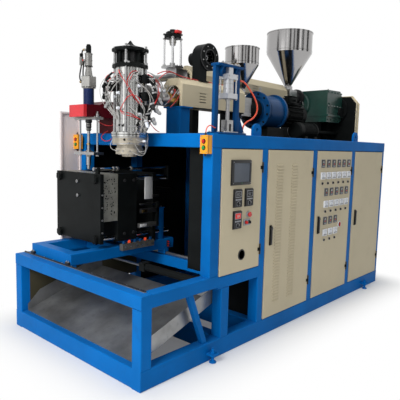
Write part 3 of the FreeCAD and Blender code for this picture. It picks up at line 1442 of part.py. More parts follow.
def blower():
    """A snail fan: scroll housing with its inlet ring and down duct, and the bladed wheel."""
    y = "die_y - 75"
    x = "blower_x"
    z = "blower_z"
    cover_top = "small_cover_top"
    drum = rod("scroll_drum", (x, y, z), "blower_radius", "blower_width", "Y")
    duct = box("scroll_duct", (x + " - blower_radius", y + " + 10", cover_top),
               ("95", "blower_width - 20", "%s - %s" % (z, cover_top)))
    flange = box("duct_flange", (x + " - blower_radius - 15", y + " - 5", cover_top),
                 ("125", "blower_width + 10", "10"))
    motor = rod("fan_motor", (x, y + " + blower_width", z), "62", "110", "Y")
    room = rod("scroll_room", (x, y + " + 6", z), "blower_radius - 8", "blower_width - 12", "Y")
    inlet = rod("inlet_hole", (x, y + " - 5", z), "72", "20", "Y")
    duct_room = box("duct_room", (x + " - blower_radius + 5", y + " + 15", cover_top + " - 1"),
                    ("85", "blower_width - 30", "%s - %s" % (z, cover_top)))
    shaft = rod("fan_shaft", (x, y + " + 40", z), "9", "blower_width - 40", "Y")
    hollow = cut("scroll_hollow", fuse("scroll_blank", [drum, duct, flange, motor]),
                 [room, inlet, duct_room])
    node("blower_housing", [fuse("blower_piece", [hollow, shaft])])
    blades = []
    count = 12
    for i in range(count):
        angle = 360 * i / count
        blade = doc.addObject("Part::Box", "blade_%d" % i)
        blade.Length = 26
        blade.Width = 60
        blade.Height = 3
        turn = Rotation(Vector(0, 1, 0), angle)
        place = turn.multVec(Vector(62, 0, -1.5))
        put(blade, ("%s + %f" % (x, place.x), y + " + 20", "%s + %f" % (z, place.z)), turn)
        blades.append(blade)
    back = rod("wheel_back", (x, y + " + 76", z), "90", "5", "Y")
    hub = rod("wheel_hub", (x, y + " + 42", z), "20", "39", "Y")
    front = cut("wheel_ring", rod("wheel_ring_blank", (x, y + " + 17", z), "90", "4", "Y"),
                [rod("wheel_ring_hole", (x, y + " + 10", z), "60", "20", "Y")])
    wheel = fuse("fan_wheel_blank", [*blades, back, hub, front])
    bore = rod("wheel_bore", (x, y, z), "9 + shaft_play", "blower_width", "Y")
    node("blower_wheel", [cut("fan_wheel", wheel, [bore])])


def accumulator_cylinder():
    """The four-rod cylinder that stands on the main extruder's head block."""
    x = "main_head_x + 16"
    crown_z = "main_axis_z + 285"
    foot = "main_axis_z + 70"
    pieces = [
        box("stand_plate", (x + " - 75", "main_y - 75", foot), ("150", "150", "24")),
        rod("stand_crown", (x, "main_y", crown_z), "88", "26"),
        rod("stand_cap", (x, "main_y", crown_z + " + 26"), "60", "22"),
        hexagon("stand_nut", (x, "main_y", crown_z + " - 30"), "26", "30"),
        rod("stand_ram", (x, "main_y", foot + " + 10"), "17", crown_z + " - (%s)" % foot),
    ]
    for i, (dx, dy) in enumerate([(-55, -55), (55, -55), (-55, 55), (55, 55)]):
        pieces.append(rod("stand_rod_%d" % i, ("%s + %d" % (x, dx), "main_y + %d" % dy,
                                               foot + " + 10"), "9", crown_z + " - (%s)" % foot))
    node("accumulator_cylinder", [fuse("stand_piece", pieces)])


# ---------------------------------------------------------------- air hoses

def hose_tube(label, radius, start_at, points):
    """A hose along straight runs joined by tangent arcs as large as the runs allow."""
    corner_of_run = Vector(*[value(formula) for formula in start_at])
    places = [corner_of_run + Vector(*p) for p in points]
    edges = []
    radii = []
    start = places[0]
    for before, corner, after in zip(places, places[1:], places[2:]):
        towards = (corner - before).normalize()
        onwards = (after - corner).normalize()
        turn = towards.getAngle(onwards)
        shorter = min((corner - before).Length, (after - corner).Length)
        trim = 0.45 * shorter
        radii.append(trim / math.tan(turn / 2))
        enter = corner - towards * trim
        leave = corner + onwards * trim
        bisector = (onwards - towards).normalize()
        middle = corner + bisector * (radii[-1] / math.cos(turn / 2) - radii[-1])
        edges.append(Part.LineSegment(start, enter).toShape())
        edges.append(Part.Arc(enter, middle, leave).toShape())
        start = leave
    edges.append(Part.LineSegment(start, places[-1]).toShape())
    path = Part.Wire(edges)
    first = (places[1] - places[0]).normalize()
    ring = Part.Wire(Part.makeCircle(radius, places[0], first))
    tube = path.makePipeShell([ring], True, True)
    print("%s radii %s, volume over section times length %.4f" % (
        label, [round(r) for r in radii], tube.Volume / (math.pi * radius ** 2 * path.Length)))
    made = doc.addObject("Part::Feature", label + "_tube")
    made.Shape = tube
    return made


LIFT_HOSE = [(155.3, 0, 436), (205, 0, 436), (290, 4, 380), (375, 10, 320), (427, 16, 250),
             (420, 22, 185), (365, 28, 138), (305, 30, 120), (262, 30, 92), (237, 30, 52),
             (235.5, 30, 0.5)]
BUTTON_HOSE = [(-35, 45, -14.7), (-35, 45, 13), (-23, 46, 42), (5, 47, 60), (33, 49, 60),
               (56, 50, 46.5), (79.6, 50, 45)]


def hoses():
    node("lift_hose", [hose_tube("lift_hose", 7, ("lift_x", "lift_y", "deck_height"), LIFT_HOSE)])
    node("button_hose", [hose_tube("button_hose", 4, ("portal_front", "0", "deck_height"),
                                   BUTTON_HOSE)])


base_beams()
low_frame()
upper_frame()
discharge_chute()
cabinet_panels()
doors()
door_1_controls()
door_3_controls()
button_boxes()
shuttle_rails()
carriage()
shuttle_drive()
front_platen()
moving_platen()
clamp_cylinder()
mould_half("mould_front_half", FRONT_OF_MOULD)
mould_half("mould_rear_half", "station_x + play / 2")
die_head()
die_crown()
blow_station()
lift_unit()
extruder_supports()
barrels()
hopper("small_hopper", "small_hopper_x", "die_y", "small_axis_z + 183", "174", "30", "245", "165")
hopper("main_hopper", "main_hopper_x", "main_y", "main_axis_z + 115", "280", "38", "395", "240")
small_drive()
gearbox()
main_motor()
belt_guard()
blower()
accumulator_cylinder()
hoses()

doc.recompute()

for obj in doc.Objects:
    if "Invalid" in obj.State or "Error" in obj.State:
        raise RuntimeError("%s failed: %s" % (obj.Name, obj.State))

os.makedirs("parts", exist_ok=True)
for piece in nodes:
    shape = piece.Shape
    if shape.isNull() or not shape.isValid():
        raise RuntimeError("%s has no valid shape" % piece.Label)
    shape.exportStep("parts/%s.step" % piece.Label)
print("%d nodes" % len(nodes))
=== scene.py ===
import itertools
import math

import bmesh
import bpy
from mathutils import Matrix, Vector


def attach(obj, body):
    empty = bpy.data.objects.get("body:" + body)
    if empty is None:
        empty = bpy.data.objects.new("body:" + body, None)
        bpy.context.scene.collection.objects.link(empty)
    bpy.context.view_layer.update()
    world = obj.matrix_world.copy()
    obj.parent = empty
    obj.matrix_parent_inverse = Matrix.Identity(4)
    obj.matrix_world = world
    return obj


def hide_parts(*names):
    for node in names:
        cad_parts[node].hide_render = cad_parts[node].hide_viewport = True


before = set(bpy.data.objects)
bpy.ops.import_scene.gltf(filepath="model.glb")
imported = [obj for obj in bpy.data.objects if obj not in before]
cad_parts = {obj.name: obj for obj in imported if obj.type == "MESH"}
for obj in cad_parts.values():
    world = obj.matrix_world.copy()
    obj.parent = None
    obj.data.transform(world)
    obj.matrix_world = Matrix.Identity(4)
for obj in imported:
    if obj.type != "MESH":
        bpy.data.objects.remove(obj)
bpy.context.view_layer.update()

# Places on the machine are in millimetres from its frame's near front bottom corner: X rearwards,
# Y across to the far side, Z up. at() brings them to the row frame. The camera, the lamps, the
# cards, the floor and the hoses' routes are given in the row frame itself, in metres.

CORNER = Vector((2015, 885, 0))
NEAR, FAR = (0, -1, 0), (0, 1, 0)
FRONT, REAR = (-1, 0, 0), (1, 0, 0)
UP, DOWN = (0, 0, 1), (0, 0, -1)
SHARP_ANGLE = math.radians(32)


def at(x, y, z):
    return (Vector((x, y, z)) - CORNER) / 1000


# ---------------------------------------------------------------- camera, floor and light

# as fitted to the straight edges in the photo
CAMERA_PLACE = Vector((-4.0419, -3.2313, 1.6959))
CAMERA_YAW, CAMERA_PITCH, CAMERA_ROLL = 42.207, -6.418, 1.452
CAMERA_LENS = 42.52


def aim_camera():
    yaw, pitch, roll = (math.radians(a) for a in (CAMERA_YAW, CAMERA_PITCH, CAMERA_ROLL))
    ahead = Vector((math.cos(pitch) * math.cos(yaw), math.cos(pitch) * math.sin(yaw),
                    math.sin(pitch)))
    level = Vector((math.sin(yaw), -math.cos(yaw), 0))
    upright = level.cross(ahead)
    right = math.cos(roll) * level + math.sin(roll) * upright
    up = -math.sin(roll) * level + math.cos(roll) * upright
    data = bpy.data.cameras.new("camera")
    data.lens = CAMERA_LENS
    data.sensor_width = 36
    data.clip_end = 100
    camera = bpy.data.objects.new("camera", data)
    bpy.context.scene.collection.objects.link(camera)
    turn = Matrix((right, up, -ahead)).transposed().to_4x4()
    camera.matrix_world = Matrix.Translation(CAMERA_PLACE) @ turn
    bpy.context.scene.camera = camera


def area_light(name, place, target, size, power):
    data = bpy.data.lights.new(name, "AREA")
    data.shape = "RECTANGLE"
    data.size, data.size_y = size
    data.energy = power
    lamp = bpy.data.objects.new(name, data)
    bpy.context.scene.collection.objects.link(lamp)
    lamp.location = place
    lamp.rotation_euler = (Vector(target) - Vector(place)).to_track_quat("-Z", "Y").to_euler()
    return lamp


def new_node(nodes, kind, **inputs):
    """A shader node with the named inputs set; an underscore stands for a space."""
    made = nodes.new("ShaderNode" + kind)
    for name, value in inputs.items():
        made.inputs[name.replace("_", " ")].default_value = value
    return made


def combined(nodes, links, operation, first, second, clamp=False):
    both = nodes.new("ShaderNodeMath")
    both.operation = operation
    both.use_clamp = clamp
    links.new(first, both.inputs[0])
    links.new(second, both.inputs[1])
    return both.outputs[0]


def mixed(nodes, links, factor, first, second):
    """The first shader where the factor is 0, the second where it is 1."""
    mix = nodes.new("ShaderNodeMixShader")
    for source, target in zip((factor, first, second), mix.inputs):
        links.new(source, target)
    return mix.outputs[0]


def seen_directly(nodes, links):
    """1 for camera, glossy and transmission rays, 0 for the light that falls on surfaces."""
    path = nodes.new("ShaderNodeLightPath")
    total = path.outputs["Is Camera Ray"]
    for ray in ("Is Glossy Ray", "Is Transmission Ray"):
        total = combined(nodes, links, "ADD", total, path.outputs[ray], clamp=True)
    return total


SKY, SKY_STRENGTH = (0.93, 0.96, 1.0, 1), 0.36
SHADOW_HALF = (1.95, 0.84, 0)
SHADOW_FADE = 0.6


def white_world():
    world = bpy.data.worlds.new("studio")
    bpy.context.scene.world = world
    world.use_nodes = True
    nodes, links = world.node_tree.nodes, world.node_tree.links
    nodes.clear()
    out = nodes.new("ShaderNodeOutputWorld")
    soft = new_node(nodes, "Background", Color=SKY, Strength=SKY_STRENGTH)
    white = new_node(nodes, "Background", Color=(1, 1, 1, 1), Strength=1.0)
    links.new(mixed(nodes, links, seen_directly(nodes, links), soft.outputs[0], white.outputs[0]),
              out.inputs[0])


def white_floor():
    """White where it is looked at, with the machine's shadow near the machine."""
    made = bpy.data.materials.new("floor_white")
    made.use_nodes = True
    nodes, links = made.node_tree.nodes, made.node_tree.links
    shader = nodes["Principled BSDF"]
    shader.inputs["Base Color"].default_value = (0.8, 0.8, 0.8, 1)
    shader.inputs["Roughness"].default_value = 0.7
    shader.inputs["Specular IOR Level"].default_value = 0.1
    glow = new_node(nodes, "Emission", Strength=1.0)
    link = nodes.new("ShaderNodeTexCoord").outputs["Object"]
    for step, size in (("ABSOLUTE", None), ("SUBTRACT", SHADOW_HALF), ("MAXIMUM", (0, 0, 0)),
                       ("LENGTH", None)):
        away = nodes.new("ShaderNodeVectorMath")
        away.operation = step
        if size is not None:
            away.inputs[1].default_value = size
        links.new(link, away.inputs[0])
        link = away.outputs["Value"] if step == "LENGTH" else away.outputs["Vector"]
    fade = new_node(nodes, "MapRange", From_Max=SHADOW_FADE, To_Min=0.1, To_Max=1.0)
    fade.interpolation_type = "SMOOTHSTEP"
    links.new(link, fade.inputs["Value"])
    share = combined(nodes, links, "MULTIPLY", seen_directly(nodes, links), fade.outputs[0])
    links.new(mixed(nodes, links, share, shader.outputs[0], glow.outputs[0]),
              nodes["Material Output"].inputs["Surface"])
    return made


# dark cards that only reflections see, so that bright metal has something to show
DARK_CARDS = [
    ((-7.4, 4.6, 2.6), (0.1, 2.0, 5.2)),
    ((-6.0, -5.0, 3.0), (0.9, 0.9, 5.2)),
    ((-3.9, -7.0, 3.0), (1.1, 0.1, 5.2)),
    ((-1.2, -7.4, 3.0), (1.9, 0.1, 5.2)),
    ((2.6, -7.4, 3.0), (1.4, 0.1, 5.2)),
    ((6.5, -5.5, 3.0), (2.4, 0.1, 5.2)),
    ((-9.0, 0.8, 6.4), (0.1, 6.0, 0.7)),
]
# bright cards that only reflections see
BRIGHT_CARDS = [
    ((-8.2, 0.2, 2.6), (0.1, 3.0, 4.6)),
    ((-7.0, -2.9, 2.8), (0.3, 0.4, 4.6)),
    ((0.7, -7.3, 2.8), (0.6, 0.1, 4.6)),
]


def studio():
    white_world()
    for lamp in (area_light("key", (-7.0, -1.4, 4.6), (-1.2, 0, 1.0), (3.0, 3.0), 430),
                 area_light("front_fill", (-3.4, -5.2, 3.2), (-1.2, 0, 1.2), (3.0, 3.0), 24),
                 area_light("top_fill", (0.2, 0.2, 7.0), (0, 0, 1.5), (6.0, 4.0), 190)):
        lamp.visible_glossy = False

    bpy.ops.mesh.primitive_plane_add(size=60, location=(0, 0, -0.0005))
    floor = bpy.context.object
    floor.name = "floor"
    floor.data.materials.append(white_floor())
    for kind, cards, glow in (("dark_card", DARK_CARDS, 0.02), ("bright_card", BRIGHT_CARDS, 1.9)):
        face = bpy.data.materials.new(kind)
        face.use_nodes = True
        shader = face.node_tree.nodes["Principled BSDF"]
        shader.inputs["Base Color"].default_value = (0.02, 0.02, 0.02, 1)
        shader.inputs["Emission Color"].default_value = (1, 1, 1, 1)
        shader.inputs["Emission Strength"].default_value = glow
        for number, (place, size) in enumerate(cards):
            bpy.ops.mesh.primitive_cube_add(size=1, location=place)
            card = bpy.context.object
            card.name = "%s_%d" % (kind, number)
            card.scale = size
            card.data.materials.append(face)
            card.visible_camera = False
            card.visible_diffuse = False
            card.visible_shadow = False


aim_camera()
studio()
bpy.context.scene.view_settings.view_transform = "Standard"


# ---------------------------------------------------------------- materials

def zone_mask(nodes, links, axis, limit, above=True):
    """1 beyond a plane across the object, 0 before it."""
    split = nodes.new("ShaderNodeSeparateXYZ")
    links.new(nodes.new("ShaderNodeTexCoord").outputs["Object"], split.inputs[0])
    beyond = nodes.new("ShaderNodeMath")
    beyond.operation = "GREATER_THAN" if above else "LESS_THAN"
    beyond.inputs[1].default_value = (limit - CORNER["XYZ".index(axis)]) / 1000
    links.new(split.outputs[axis], beyond.inputs[0])
    return beyond.outputs[0]


def zoned(name, first, *zones):
    """One finish, with others laid over it beyond planes across the object."""
    made = first.copy()
    made.name = name
    nodes, links = made.node_tree.nodes, made.node_tree.links
    out = nodes["Material Output"]
    shown = out.inputs["Surface"].links[0].from_socket
    for finish, *planes in zones:
        group = {}
        for node in finish.node_tree.nodes:
            if node.type == "OUTPUT_MATERIAL":
                continue
            twin = nodes.new(node.bl_idname)
            group[node] = twin
            for prop in ("operation", "data_type", "use_clamp", "interpolation_type"):
                if hasattr(node, prop):
                    setattr(twin, prop, getattr(node, prop))
            if node.type == "VALTORGB":
                for mine, theirs in zip(twin.color_ramp.elements, node.color_ramp.elements):
                    mine.position, mine.color = theirs.position, theirs.color
            for mine, theirs in zip(twin.inputs, node.inputs):
                if hasattr(theirs, "default_value"):
                    mine.default_value = theirs.default_value
        for link in finish.node_tree.links:
            if link.to_node in group:
                to = list(link.to_node.inputs).index(link.to_socket)
                source = list(link.from_node.outputs).index(link.from_socket)
                links.new(group[link.from_node].outputs[source], group[link.to_node].inputs[to])
        mask = None
        for plane in planes:
            one = zone_mask(nodes, links, *plane)
            mask = combined(nodes, links, "MULTIPLY", mask, one) if mask else one
        over = group[finish.node_tree.nodes["Principled BSDF"]].outputs[0]
        shown = mixed(nodes, links, mask, shown, over)
    links.new(shown, out.inputs["Surface"])
    return made


DUST = (0.42, 0.39, 0.34, 1)


def material(name, color, rough, metallic=0.0, coat=0.0, fleck=0.08, fleck_scale=9.0, grime=0.25,
             bump=0.02, bump_scale=260.0, stretch=(1, 1, 1), rough_spread=0.08, dust=0.0,
             specular=0.5):
    """Colour that drifts and gathers grime, uneven roughness and a fine surface bump."""
    made = bpy.data.materials.new(name)
    made.use_nodes = True
    nodes, links = made.node_tree.nodes, made.node_tree.links
    shader = nodes["Principled BSDF"]
    shader.inputs["Metallic"].default_value = metallic
    shader.inputs["Coat Weight"].default_value = coat
    shader.inputs["Coat Roughness"].default_value = 0.15
    shader.inputs["Specular IOR Level"].default_value = specular
    scaled = new_node(nodes, "Mapping", Scale=stretch)
    links.new(nodes.new("ShaderNodeTexCoord").outputs["Object"], scaled.inputs["Vector"])

    def noise(**inputs):
        made_noise = new_node(nodes, "TexNoise", **inputs)
        links.new(scaled.outputs[0], made_noise.inputs["Vector"])
        return made_noise.outputs["Fac"]

    def ramp(source, *stops):
        made_ramp = nodes.new("ShaderNodeValToRGB")
        for element, (position, tint) in zip(made_ramp.color_ramp.elements, stops):
            element.position, element.color = position, (*tint, 1)
        links.new(source, made_ramp.inputs[0])
        return made_ramp

    tone = ramp(noise(Scale=fleck_scale, Detail=6), (0.3, [c * (1 - fleck) for c in color]),
                (0.7, [min(1, c * (1 + fleck)) for c in color]))
    spots = noise(Scale=fleck_scale * 3.7, Detail=8, Roughness=0.7)
    mask = ramp(spots, (0.56, (0, 0, 0)), (0.74, (grime, grime, grime)))
    soiled = nodes.new("ShaderNodeMix")
    soiled.data_type = "RGBA"
    soiled.inputs["B"].default_value = (*[c * 0.45 + 0.012 for c in color], 1)
    links.new(mask.outputs[0], soiled.inputs["Factor"])
    links.new(tone.outputs[0], soiled.inputs["A"])
    colour = soiled.outputs["Result"]

    if dust:
        split = nodes.new("ShaderNodeSeparateXYZ")
        links.new(nodes.new("ShaderNodeNewGeometry").outputs["Normal"], split.inputs[0])
        upward = new_node(nodes, "MapRange", From_Min=0.55, From_Max=1.0, To_Max=dust)
        links.new(split.outputs["Z"], upward.inputs["Value"])
        dusty = nodes.new("ShaderNodeMix")
        dusty.data_type = "RGBA"
        dusty.inputs["B"].default_value = DUST
        links.new(upward.outputs[0], dusty.inputs["Factor"])
        links.new(colour, dusty.inputs["A"])
        colour = dusty.outputs["Result"]
    links.new(colour, shader.inputs["Base Color"])

    spread = new_node(nodes, "MapRange", To_Min=max(0.02, rough - rough_spread),
                      To_Max=min(1.0, rough + rough_spread))
    links.new(spots, spread.inputs["Value"])
    links.new(spread.outputs[0], shader.inputs["Roughness"])

    relief = new_node(nodes, "Bump", Strength=bump, Distance=0.002)
    links.new(noise(Scale=bump_scale, Detail=3), relief.inputs["Height"])
    links.new(relief.outputs[0], shader.inputs["Normal"])
    return made


BLUE = material("frame_paint", (0.001, 0.128, 0.42), 0.45, coat=0.01, fleck=0.14, fleck_scale=2.2,
                grime=0.3, bump=0.06, bump_scale=120, dust=0.012, specular=0.05)
CREAM = material("cream_powder_coat", (0.58, 0.505, 0.35), 0.5, fleck=0.05, fleck_scale=1.6,
                 grime=0.12, bump=0.08, bump_scale=700, specular=0.15)
BLACK = material("black_machine_paint", (0.006, 0.007, 0.007), 0.45, coat=0.01, fleck=0.25,
                 fleck_scale=6, grime=0.35, bump=0.1, bump_scale=90, dust=0.009, specular=0.07)
SATIN_BLACK = material("black_plastic", (0.013, 0.013, 0.014), 0.42, fleck=0.1, grime=0.1,
                       bump=0.05, bump_scale=900, specular=0.4)
STEEL = material("machined_steel", (0.42, 0.42, 0.42), 0.32, metallic=1.0, fleck=0.12,
                 fleck_scale=14, grime=0.35, bump=0.05, bump_scale=300, stretch=(1, 1, 6))
BRIGHT = material("polished_bar", (0.7, 0.7, 0.71), 0.14, metallic=1.0, fleck=0.04, fleck_scale=20,
                  grime=0.15, bump=0.01, bump_scale=200)
STAINLESS = material("spun_stainless", (0.36, 0.353, 0.35), 0.13, metallic=1.0, fleck=0.05,
                     fleck_scale=5, grime=0.06, bump=0.04, bump_scale=7, stretch=(1, 1, 0.25),
                     rough_spread=0.04)
SHELL = material("wrapped_stainless_sheet", (0.5, 0.5, 0.485), 0.23, metallic=1.0, fleck=0.1,
                 fleck_scale=9, grime=0.25, bump=0.12, bump_scale=14, stretch=(1, 1, 0.6))
MOULD = material("milled_mould_metal", (0.36, 0.35, 0.3), 0.5, metallic=0.55, fleck=0.18,
                 fleck_scale=18, grime=0.55, bump=0.1, bump_scale=120)
# The blow arm's red in two copies: this maroon one is painted shade for the arm's shaded sides,
# and the bright one below is painted light for its lit front end face.
RED = material("arm_red_shaded_copy", (0.068, 0.002, 0.006), 0.42, coat=0.03, fleck=0.14, fleck_scale=5,
               grime=0.3, bump=0.05, bump_scale=90, specular=0.1)
ARM_LIT_RED = material("arm_red_lit_copy", (0.55, 0.012, 0.02), 0.32, coat=0.3, fleck=0.1, fleck_scale=6,
                      grime=0.2, bump=0.04, bump_scale=90, specular=0.35)
DRIVE = material("drive_blue_paint", (0.003, 0.045, 0.14), 0.36, coat=0.04, fleck=0.18,
                 fleck_scale=8, grime=0.3, bump=0.1, bump_scale=140, specular=0.16)
LIFT_BLUE = material("lift_frame_paint", (0.002, 0.052, 0.17), 0.45, coat=0.02, fleck=0.14,
                     fleck_scale=4, grime=0.3, bump=0.06, bump_scale=120, dust=0.03, specular=0.08)
NAVY = material("navy_tube_paint", (0.006, 0.016, 0.07), 0.28, coat=0.1, fleck=0.15,
                fleck_scale=12, grime=0.2, bump=0.05, bump_scale=150, specular=0.15)
GREEN = material("gearbox_green_paint", (0.008, 0.042, 0.032), 0.36, coat=0.2, fleck=0.22,
                 fleck_scale=7, grime=0.45, bump=0.2, bump_scale=110, dust=0.05)
SHEET = material("galvanised_sheet", (0.3, 0.3, 0.295), 0.34, metallic=0.75, fleck=0.3,
                 fleck_scale=5, grime=0.6, bump=0.08, bump_scale=16)
PALE_SHEET = material("pale_grey_paint", (0.5, 0.5, 0.49), 0.5, fleck=0.08, fleck_scale=6,
                      grime=0.3, bump=0.05, bump_scale=300)
ORANGE = material("orange_box_plastic", (0.82, 0.33, 0.012), 0.38, coat=0.1, fleck=0.07,
                  fleck_scale=20, grime=0.2, bump=0.04, bump_scale=500)
BUTTON_RED = material("button_red", (0.5, 0.012, 0.012), 0.3, fleck=0.05, grime=0.15, bump=0.01)
BUTTON_GREEN = material("button_green", (0.01, 0.26, 0.06), 0.3, fleck=0.05, grime=0.15, bump=0.01)
HOSE = material("orange_hose", (0.85, 0.075, 0.02), 0.32, coat=0.2, fleck=0.08, fleck_scale=30,
                grime=0.1, bump=0.02)
RINGS = material("stained_ring_steel", (0.4, 0.36, 0.29), 0.42, metallic=0.55, fleck=0.2,
                 fleck_scale=22, grime=0.55, bump=0.08, bump_scale=160)
OILED = material("oiled_iron", (0.13, 0.125, 0.11), 0.42, metallic=0.45, fleck=0.3, fleck_scale=16,
                 grime=0.6, bump=0.1, bump_scale=110, specular=0.2)
# Dark olive for sheets that stand in for the shade under the low frame: painted shade.
SHADE_OLIVE = material("olive_sheet_painted_shade", (0.05, 0.044, 0.026), 0.6, fleck=0.2, fleck_scale=3, grime=0.4,
                 bump=0.04, bump_scale=60, specular=0.1)
ALLOY = material("anodised_alloy", (0.31, 0.305, 0.29), 0.3, metallic=0.85, fleck=0.06,
                 fleck_scale=12, grime=0.2, bump=0.03, bump_scale=300)
PALE_ALLOY = material("pale_alloy", (0.6, 0.61, 0.63), 0.34, metallic=0.7, fleck=0.06,
                      fleck_scale=12, grime=0.3, bump=0.04, bump_scale=300)
BRASS = material("brass", (0.55, 0.36, 0.12), 0.28, metallic=1.0, fleck=0.1, fleck_scale=40,
                 grime=0.3, bump=0.03)
GLASS = material("screen_glass", (0.075, 0.09, 0.115), 0.16, fleck=0.12, fleck_scale=3, grime=0.08,
                 bump=0.004, rough_spread=0.05)
WINDOW = material("dark_display_window", (0.006, 0.006, 0.008), 0.12, fleck=0.05, grime=0.05,
                  bump=0.002)
DIAL = material("dial_white", (0.74, 0.76, 0.8), 0.35, fleck=0.03, grime=0.06, bump=0.01)
KEY_GREY = material("key_grey", (0.3, 0.31, 0.33), 0.4, fleck=0.05, grime=0.1, bump=0.02)
FIGURE_WHITE = material("figure_white", (0.75, 0.75, 0.72), 0.5, fleck=0.04, grime=0.02, bump=0.0)
FIGURE_RED = material("figure_red", (0.8, 0.02, 0.015), 0.4, fleck=0.04, grime=0.02, bump=0.0)
WIRE_RED = material("red_wire", (0.55, 0.02, 0.02), 0.45, fleck=0.1, fleck_scale=60, grime=0.2,
                    bump=0.02)
WIRE_WHITE = material("white_wire", (0.4, 0.39, 0.37), 0.55, fleck=0.12, fleck_scale=60,
                      grime=0.35, bump=0.05)
WIRE_BLACK = material("black_wire", (0.012, 0.012, 0.012), 0.5, fleck=0.2, fleck_scale=60,
                      grime=0.2, bump=0.03)
BRAID = material("braided_sleeve", (0.34, 0.33, 0.31), 0.5, metallic=0.5, fleck=0.4,
                 fleck_scale=90, grime=0.4, bump=0.3, bump_scale=600)

DECK = zoned("deck_paint", BLACK, (BLUE, ("X", 1200, False), ("Z", 1812)))
BARS = zoned("tie_bar_finish", BRIGHT, (BLACK, ("X", 381, False)))
# Painted light and shade: the arm's front end face, before X 402, takes the lit red copy and the
# rest takes the shaded maroon copy.
ARM = zoned("arm_red_lit_and_shaded", RED, (ARM_LIT_RED, ("X", 402, False)))
BLOW = zoned("blow_cylinder_finish", ALLOY, (NAVY, ("Z", 2204, False), ("Z", 1936)), (BLACK,
                                                                                      ("Z", 2500)))
DRIVE_TRAIN = zoned("drive_train_paint", DRIVE, (BLACK, ("X", 2205, False)), (BLACK, ("X", 2606)))
EXTRUDER = zoned("extruder_finish", STEEL, (SATIN_BLACK, ("X", 3320)))
# The guard panel's pinkish cream, made lighter than the cream doors for the light that falls on
# it: painted light.
GUARD_PINK_LIT = material("guard_pink_with_painted_light", (0.72, 0.64, 0.62), 0.5, fleck=0.06, fleck_scale=1.4,
                     grime=0.15, bump=0.05, bump_scale=500, specular=0.15)
# Painted shade: the belt guard's face towards the front, before X 3933, is black for the shade
# inside the guard; the rest stays cream.
BELT_GUARD_SHADED = zoned("belt_guard_cream_with_painted_shade", CREAM, (BLACK, ("X", 3933, False)))
STAND = zoned("stand_finish", STEEL, (BLACK, ("Z", 2639)))
DOOR = zoned("door_finish", CREAM, (BLACK, ("Y", -4.1, False)))
LOUVRED_DOOR = zoned("louvred_door_finish", CREAM, (BLACK, ("Y", -4.1, False), ("X", 2190)),
                     (BLACK, ("Y", -4.1, False), ("X", 1530, False)))
# Painted shade: the panels' inner faces inside the cabinet are black for the shade inside it; the
# guard panel, before X 705, takes the lighter pink with its painted light.
PANELS_LIT_AND_SHADED = zoned("panel_cream_with_painted_light_and_shade", CREAM, (BLACK, ("X", 780), ("Y", 90), ("X", 4005, False),
                                       ("Y", 1773, False)), (GUARD_PINK_LIT, ("X", 705, False)))

FINISHED_NODES = (
    (BLUE, "base_beams low_frame upper_frame carriage lift_bracket"),
    (DECK, "extruder_deck"),
    (SHEET, "discharge_chute"),
    (PANELS_LIT_AND_SHADED, "cabinet_panels"),
    # main_motor is black as painted shade: it sits in the shade under the gearbox.
    (BLACK,
     "control_box shuttle_cylinder front_platen moving_platen clamp_cylinder "
     "die_crown gearbox_pulley main_motor blower_housing"),
    (SATIN_BLACK,
     "door_hinges door_2_handle door_3_handle door_4_handle door_1_instruments "
     "door_3_instruments"),
    (DOOR, "door_1 door_3 door_4"),
    (LOUVRED_DOOR, "door_2"),
    (GLASS, "touch_screen"),
    (BUTTON_RED, "emergency_stop near_stop_button far_stop_button"),
    (ORANGE, "button_boxes"),
    (BUTTON_GREEN, "near_start_button far_start_button"),
    (STEEL, "shuttle_rails shuttle_rod die_stays blow_pin lift_rod blower_wheel"),
    (OILED, "water_manifold"),
    (BARS, "tie_bars"),
    (BRIGHT, "clamp_ram"),
    (MOULD, "mould_front_half mould_rear_half"),
    (SHELL, "die_head"),
    (RINGS, "die_rings"),
    (ARM, "blow_arm"),
    (BLOW, "blow_cylinder"),
    (PALE_ALLOY, "lift_cylinder"),
    (EXTRUDER, "extruder_barrels"),
    (CREAM, "barrel_covers"),
    (STAINLESS, "small_hopper main_hopper"),
    (DRIVE_TRAIN, "small_drive"),
    (GREEN, "main_gearbox"),
    (BELT_GUARD_SHADED, "belt_guard"),
    (STAND, "accumulator_cylinder"),
    (HOSE, "lift_hose button_hose"),
)
for node_finish, node_names in FINISHED_NODES:
    for node_name in node_names.split():
        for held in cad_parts[node_name].material_slots:
            held.material = node_finish


# ---------------------------------------------------------------- building shapes

def block(low, high, bevel=1.5, segments=2):
    """A bevelled block between two corners."""
    shape = bmesh.new()
    bmesh.ops.create_cube(shape, size=1)
    low, high = Vector(low), Vector(high)
    size = high - low
    for vert in shape.verts:
        vert.co = Vector((vert.co[k] + 0.5) * size[k] + low[k] for k in range(3))
    if bevel:
        bmesh.ops.bevel(shape, geom=list(shape.edges), offset=min(bevel, min(size) * 0.45),
                        segments=segments, profile=0.5, affect="EDGES", clamp_overlap=True)
    return shape


def windowed(low, high, rim, sink, bevel=3):
    """A block with a sunk window in the face towards the doors' side; the window is slot 1."""
    shape = block(low, high, bevel)
    front = max((f for f in shape.faces if f.normal.y < -0.9), key=lambda f: f.calc_area())
    bmesh.ops.inset_individual(shape, faces=[front], thickness=rim, depth=0)
    bmesh.ops.inset_individual(shape, faces=[front], thickness=1.2, depth=-sink)
    front.material_index = 1
    return shape


